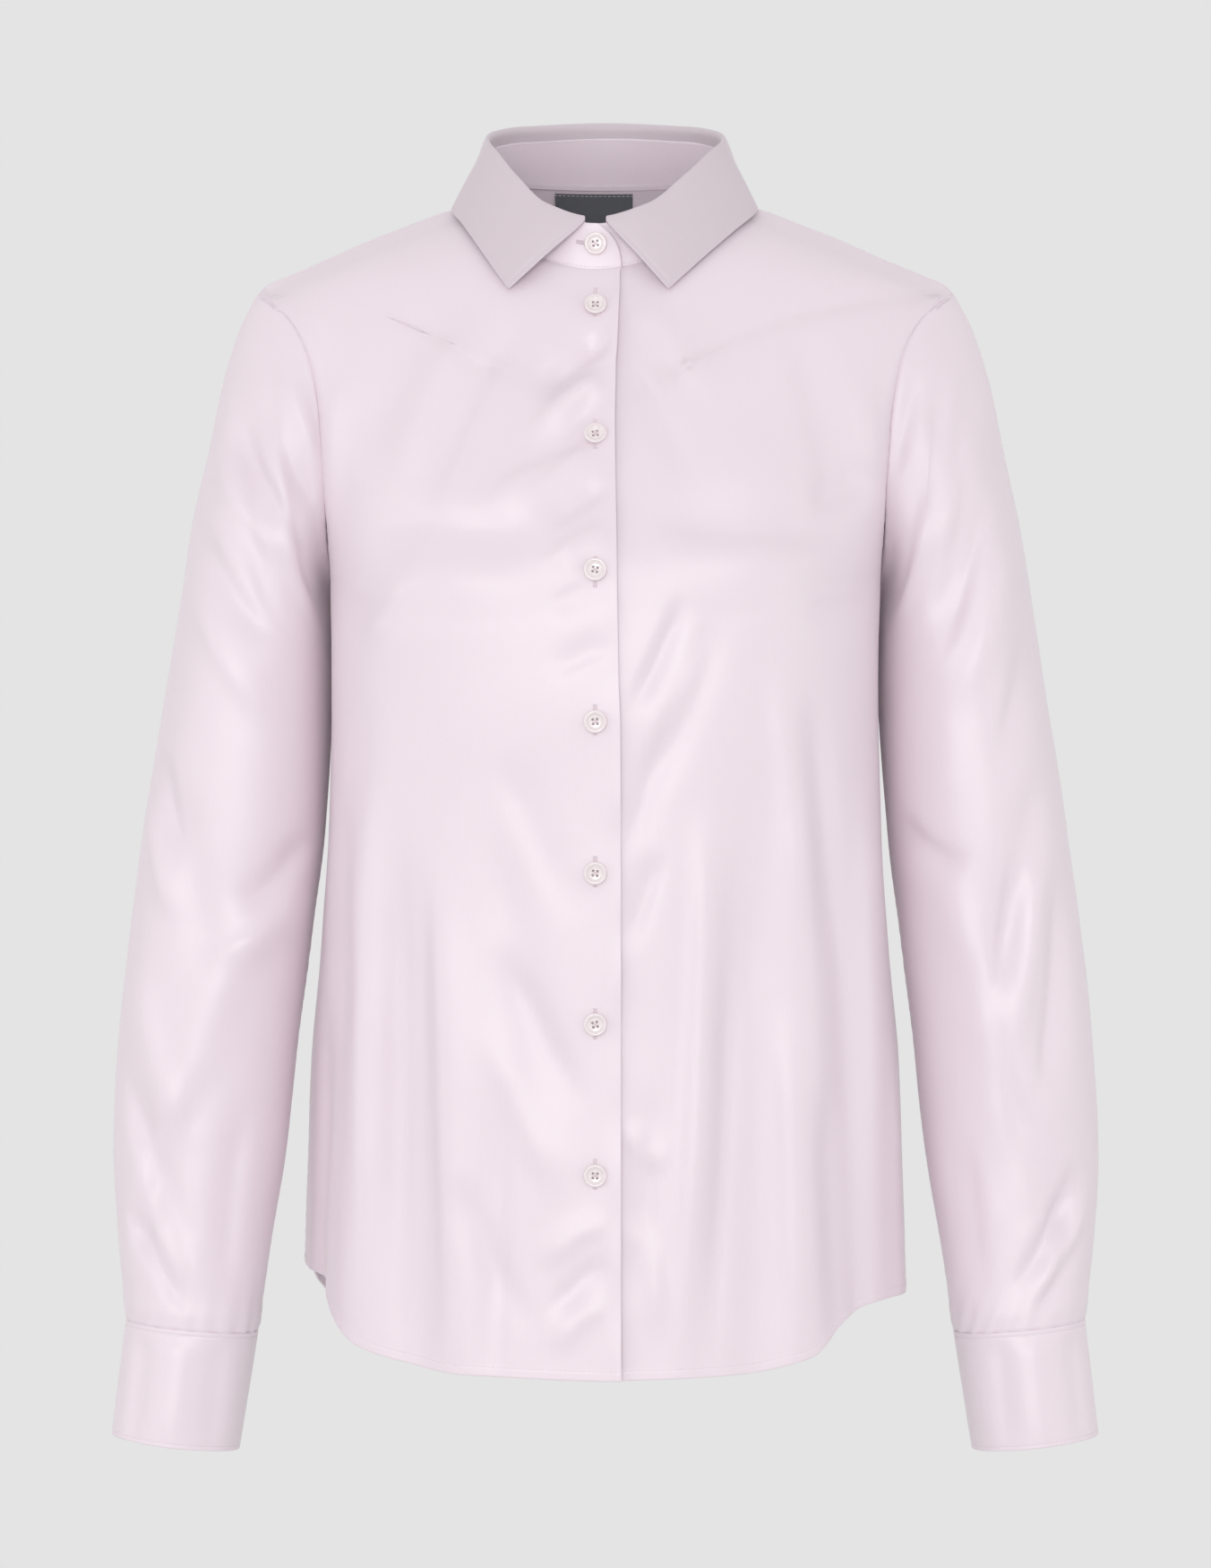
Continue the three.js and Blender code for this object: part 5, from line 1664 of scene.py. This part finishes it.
class ShirtSizes(bpy.types.PropertyGroup):
    cloth_thickness: length_setting(
        "Cloth thickness", "Thickness of one layer of the cloth", 0.0005, 0.0002, 0.0012
    )
    hem_depth: length_setting(
        "Hem depth", "Depth of the narrow turned-up hem", 0.0052, 0.003, 0.012, precision=4
    )
    stitch_length: length_setting("Stitch length", "Length of a stitch that shows", 0.0019, 0.001, 0.004)
    stitch_gap: length_setting("Stitch gap", "Gap between two stitches", 0.0005, 0.0001, 0.002)
    thread_width: length_setting("Thread width", "Width of the sewing thread", 0.00032, 0.0001, 0.001)
    floor_height: length_setting("Floor height", "Height of the studio floor", -1.3, -3.0, -0.8)


class ShirtColours(bpy.types.PropertyGroup):
    cloth: colour_setting("Cloth", "Colour of the cotton satin", (0.83, 0.72, 0.78))
    thread: colour_setting("Thread", "Colour of the sewing thread", (0.80, 0.69, 0.745))
    button: colour_setting("Buttons", "Colour of the shell buttons", (0.88, 0.82, 0.83))
    label: colour_setting("Label", "Colour of the woven label", (0.115, 0.125, 0.14))
    floor: colour_setting("Floor", "Colour of the studio floor", (0.78, 0.78, 0.78))
    backdrop: colour_setting("Backdrop", "Colour of the plain ground behind the shirt", (0.775, 0.775, 0.775))


# Operators, one for the stage and one for each piece or group of like pieces

SIDES = ("right", "left")
# Colour factors of the collar's satin: painted light on the stand, painted shade on the fall
STAND_PAINTED_LIGHT, FALL_PAINTED_SHADE = 1.06, 0.8
BUTTON_TURNS = (0, 6, -9, 4, -5, 11, -3, 8, 0, 5)
BUTTONHOLE_RISES = (0.9, -0.7, -1.2, 1.0, 0.9, 0.4, 0.8)
BUTTONHOLE_HALF_LENGTH, BUTTONHOLE_HALF_WIDTH, BUTTONHOLE_BAR = 7.4, 0.62, 7.7
BUTTONHOLE_STITCH = (0.0012, 0.00034, 0.00042)
BUTTONHOLE_POINTS = 12
CAMERA_PLACE = (0.0, -3.0, -0.3185)
CAMERA_LENS = 126.46


class SHIRT_OT_stage(bpy.types.Operator):
    """Make the camera, the soft studio light and the floor"""

    bl_idname = "shirt.stage"
    bl_label = "Stage"

    def execute(self, context):
        scene = context.scene
        camera = bpy.data.objects.new("camera", bpy.data.cameras.new("camera"))
        scene.collection.objects.link(camera)
        camera.location = CAMERA_PLACE
        camera.rotation_euler = (math.pi / 2, 0, 0)
        camera.data.lens = CAMERA_LENS
        camera.data.sensor_width = 36.0
        camera.data.clip_start, camera.data.clip_end = 0.05, 60.0
        scene.camera = camera
        scene.view_settings.view_transform = "Standard"
        self.make_ground(scene)
        self.make_light("front_softbox", (-0.35, -4.5, 0.3), (1.6, 1.6), 48.0)
        self.make_light("left_softbox", (-3.7, -1.9, 0.1), (1.4, 2.2), 14.0)
        self.make_light("right_softbox", (3.7, -1.9, 0.1), (1.4, 2.2), 10.0)
        self.make_light("rear_softbox", (0.0, 4.4, 0.4), (2.4, 2.4), 8.0)
        self.make_floor(scene)
        return {"FINISHED"}

    def make_ground(self, scene):
        """An even pale surround, a little darker overhead."""
        world = bpy.data.worlds.new("studio")
        world.use_nodes = True
        tree = world.node_tree
        ground = tree.nodes["Background"]
        place = tree.nodes.new("ShaderNodeTexCoord")
        split = tree.nodes.new("ShaderNodeSeparateXYZ")
        wire(tree, place.outputs["Generated"], split.inputs[0])
        overhead = value_node(tree, "MULTIPLY_ADD", split.outputs[2], 2.0)
        overhead.node.inputs[2].default_value = -0.6
        overhead.node.use_clamp = True
        tone = scene.shirt_colours.backdrop
        wire(tree, mixed_colour(tree, overhead, tuple(tone), shaded(tone, 0.97)), ground.inputs["Color"])
        ground.inputs["Strength"].default_value = 1.0
        scene.world = world

    def make_light(self, name, place, size, power):
        data = bpy.data.lights.new(name, "AREA")
        data.shape = "RECTANGLE"
        data.size, data.size_y = size
        data.energy = power
        light = bpy.data.objects.new(name, data)
        bpy.context.scene.collection.objects.link(light)
        light.location = place
        aim = Vector((0, 0, -0.33)) - Vector(place)
        light.rotation_euler = aim.to_track_quat("-Z", "Y").to_euler()
        light.visible_camera = False

    def make_floor(self, scene):
        shape = bmesh.new()
        bmesh.ops.create_circle(shape, cap_ends=True, cap_tris=False, segments=96, radius=2.6)
        height = scene.shirt_sizes.floor_height
        bmesh.ops.translate(shape, verts=shape.verts, vec=(0, 0, height))
        mesh = bpy.data.meshes.new("floor")
        shape.to_mesh(mesh)
        shape.free()
        link_object("floor", mesh, paper_material())


class SHIRT_OT_fronts(bpy.types.Operator):
    """Make the two fronts, the right one over the left"""

    bl_idname = "shirt.fronts"
    bl_label = "Fronts"

    def execute(self, context):
        satin = satin_material()
        for side in SIDES:
            make_sheet(f"front_{side}", satin)
        return {"FINISHED"}


class SHIRT_OT_back(bpy.types.Operator):
    """Make the back"""

    bl_idname = "shirt.back"
    bl_label = "Back"

    def execute(self, context):
        make_sheet("back", satin_material())
        return {"FINISHED"}


class SHIRT_OT_sleeves(bpy.types.Operator):
    """Make the sleeves with the bound slit above each cuff"""

    bl_idname = "shirt.sleeves"
    bl_label = "Sleeves"

    def execute(self, context):
        satin = satin_material()
        for side in SIDES:
            make_sheet(f"sleeve_{side}", satin)
            make_sheet(f"sleeve_placket_{side}", satin)
        return {"FINISHED"}


class SHIRT_OT_cuffs(bpy.types.Operator):
    """Make the cuffs"""

    bl_idname = "shirt.cuffs"
    bl_label = "Cuffs"

    def execute(self, context):
        for side in SIDES:
            make_sheet(f"cuff_{side}", satin_material())
        return {"FINISHED"}


class SHIRT_OT_collar(bpy.types.Operator):
    """Make the collar's stand and its fall"""

    bl_idname = "shirt.collar"
    bl_label = "Collar"

    def execute(self, context):
        # The stand's satin is the same cloth with its colour scaled up: painted light.
        stand = satin_material("Cotton satin stand", STAND_PAINTED_LIGHT)
        # The fall's satin is the same cloth with its colour scaled down: painted shade.
        fall = satin_material("Cotton satin cross grain", FALL_PAINTED_SHADE)
        make_sheet("collar_stand", stand)
        make_sheet("collar_fall", fall)
        return {"FINISHED"}


class SHIRT_OT_label(bpy.types.Operator):
    """Make the bare woven label inside the back neck"""

    bl_idname = "shirt.label"
    bl_label = "Label"

    def execute(self, context):
        make_sheet("neck_label", label_material())
        return {"FINISHED"}


class SHIRT_OT_buttons(bpy.types.Operator):
    """Make the buttons and the thread that holds them"""

    bl_idname = "shirt.buttons"
    bl_label = "Buttons"

    def execute(self, context):
        shape, shell = button_shape(), shell_material()
        vertices, faces = [], []
        for k, (node, (place, normal)) in enumerate(button_places().items()):
            matrix = standing_at(place, normal, turn=BUTTON_TURNS[k])
            mesh = shape.copy()
            mesh.transform(matrix)
            attach(link_object(f"shell_{node}", mesh, shell), (node,))
            strands = [(line, 0.26) for line in thread_cross()]
            strands.append((np.array([[0, 0, -1.3], [0, 0, -0.6], [0, 0, 0.1]]), 1.3))
            for line, radius in strands:
                points, loops = tube(line, radius, 8 if radius < 1 else 12)
                placed = [matrix @ Vector(p * MM) for p in points]
                start = len(vertices)
                vertices += placed
                faces += [tuple(start + v for v in loop) for loop in loops]
        bpy.data.meshes.remove(shape)
        mesh = bpy.data.meshes.new("button_threads")
        mesh.from_pydata(vertices, [], faces)
        mesh.shade_smooth()
        attach(link_object("button_threads", mesh, thread_material()))
        return {"FINISHED"}


class SHIRT_OT_buttonholes(bpy.types.Operator):
    """Sew the buttonholes of the closing"""

    bl_idname = "shirt.buttonholes"
    bl_label = "Buttonholes"

    def execute(self, context):
        front = cloth_of("front_right")
        lines = []
        for k in range(1, 8):
            centre = box_centre(f"button_{k}")
            middle_z = centre[2] + BUTTONHOLE_RISES[k - 1]
            reach = BUTTONHOLE_HALF_LENGTH
            z = np.linspace(middle_z + reach, middle_z - reach, BUTTONHOLE_POINTS)
            for off in (-BUTTONHOLE_HALF_WIDTH, BUTTONHOLE_HALF_WIDTH):
                lines.append(face_at(front, np.full(BUTTONHOLE_POINTS, centre[0] + off), z))
            for end in (BUTTONHOLE_BAR, -BUTTONHOLE_BAR):
                x = np.linspace(centre[0] - 1.0, centre[0] + 1.0, 4)
                lines.append(face_at(front, x, np.full(4, middle_z + end)))
        stitching("buttonholes", lines, *BUTTONHOLE_STITCH, across=True, seed=5)
        turn = 360 + np.linspace(-8.6, 4.0, BUTTONHOLE_POINTS)
        lines = [stand_point(turn, 0.55 + off, further=FOLDED) for off in (-0.026, 0.026)]
        stitching("stand_buttonhole", lines, *BUTTONHOLE_STITCH, across=True, seed=6)
        return {"FINISHED"}


class SHIRT_OT_stitching(bpy.types.Operator):
    """Sew the lines of stitches that show"""

    bl_idname = "shirt.stitching"
    bl_label = "Stitching"

    def execute(self, context):
        depth = hem_depth() - 0.7
        for node in ("front_right", "front_left", "back"):
            cloth = cloth_of(node)
            sewn(f"stitches_{node}", [cloth.line(0, depth), cloth.line(0, depth, inside=True)])
        stand, fall = cloth_of("collar_stand"), cloth_of("collar_fall")
        lines = [stand.line(0, EDGE_STITCH + 0.6, inside=face) for face in (False, True)]
        lines.append(stand.line(0, 1.2, from_end=True, inside=True))
        sewn("stitches_collar_stand", lines)
        lines = [fall.line(0, EDGE_STITCH + 0.3)]
        lines += [fall.line(1, EDGE_STITCH + 0.3, from_end=end) for end in (False, True)]
        sewn("stitches_collar_fall", lines)
        for side in SIDES:
            cuff, placket = cloth_of(f"cuff_{side}"), cloth_of(f"sleeve_placket_{side}")
            lines = [cuff.line(0, EDGE_STITCH), cuff.line(0, EDGE_STITCH, from_end=True)]
            lines += [cuff.line(1, EDGE_STITCH, from_end=end) for end in (False, True)]
            lines += [placket.line(1, 1.3, from_end=end) for end in (False, True)]
            lines.append(placket.line(0, 1.3))
            sewn(f"stitches_cuff_{side}", lines)
        label = cloth_of("neck_label")
        sewn("stitches_label", [label.line(0, 1.0, from_end=True, inside=True)])
        return {"FINISHED"}


STEPS = (
    SHIRT_OT_stage,
    SHIRT_OT_fronts,
    SHIRT_OT_back,
    SHIRT_OT_sleeves,
    SHIRT_OT_cuffs,
    SHIRT_OT_collar,
    SHIRT_OT_label,
    SHIRT_OT_buttons,
    SHIRT_OT_buttonholes,
    SHIRT_OT_stitching,
)


class VIEW3D_PT_shirt(bpy.types.Panel):
    """The steps that build the shirt, and its settings"""

    bl_label = "Dress shirt"
    bl_idname = "VIEW3D_PT_shirt"
    bl_space_type = "VIEW_3D"
    bl_region_type = "UI"
    bl_category = "Shirt"

    def draw(self, context):
        for step in STEPS:
            self.layout.operator(step.bl_idname)
        for group in (context.scene.shirt_sizes, context.scene.shirt_colours):
            for name in type(group).__annotations__:
                self.layout.prop(group, name)


CLASSES = (ShirtSizes, ShirtColours, *STEPS, VIEW3D_PT_shirt)


def register():
    for kind in CLASSES:
        bpy.utils.register_class(kind)
    bpy.types.Scene.shirt_sizes = bpy.props.PointerProperty(type=ShirtSizes)
    bpy.types.Scene.shirt_colours = bpy.props.PointerProperty(type=ShirtColours)


def unregister():
    del bpy.types.Scene.shirt_colours
    del bpy.types.Scene.shirt_sizes
    for kind in reversed(CLASSES):
        bpy.utils.unregister_class(kind)


def main():
    register()
    for step in STEPS:
        area, name = step.bl_idname.split(".")
        if "FINISHED" not in getattr(getattr(bpy.ops, area), name)():
            raise RuntimeError(f"{step.bl_label}: not finished")


if __name__ == "__main__":
    main()
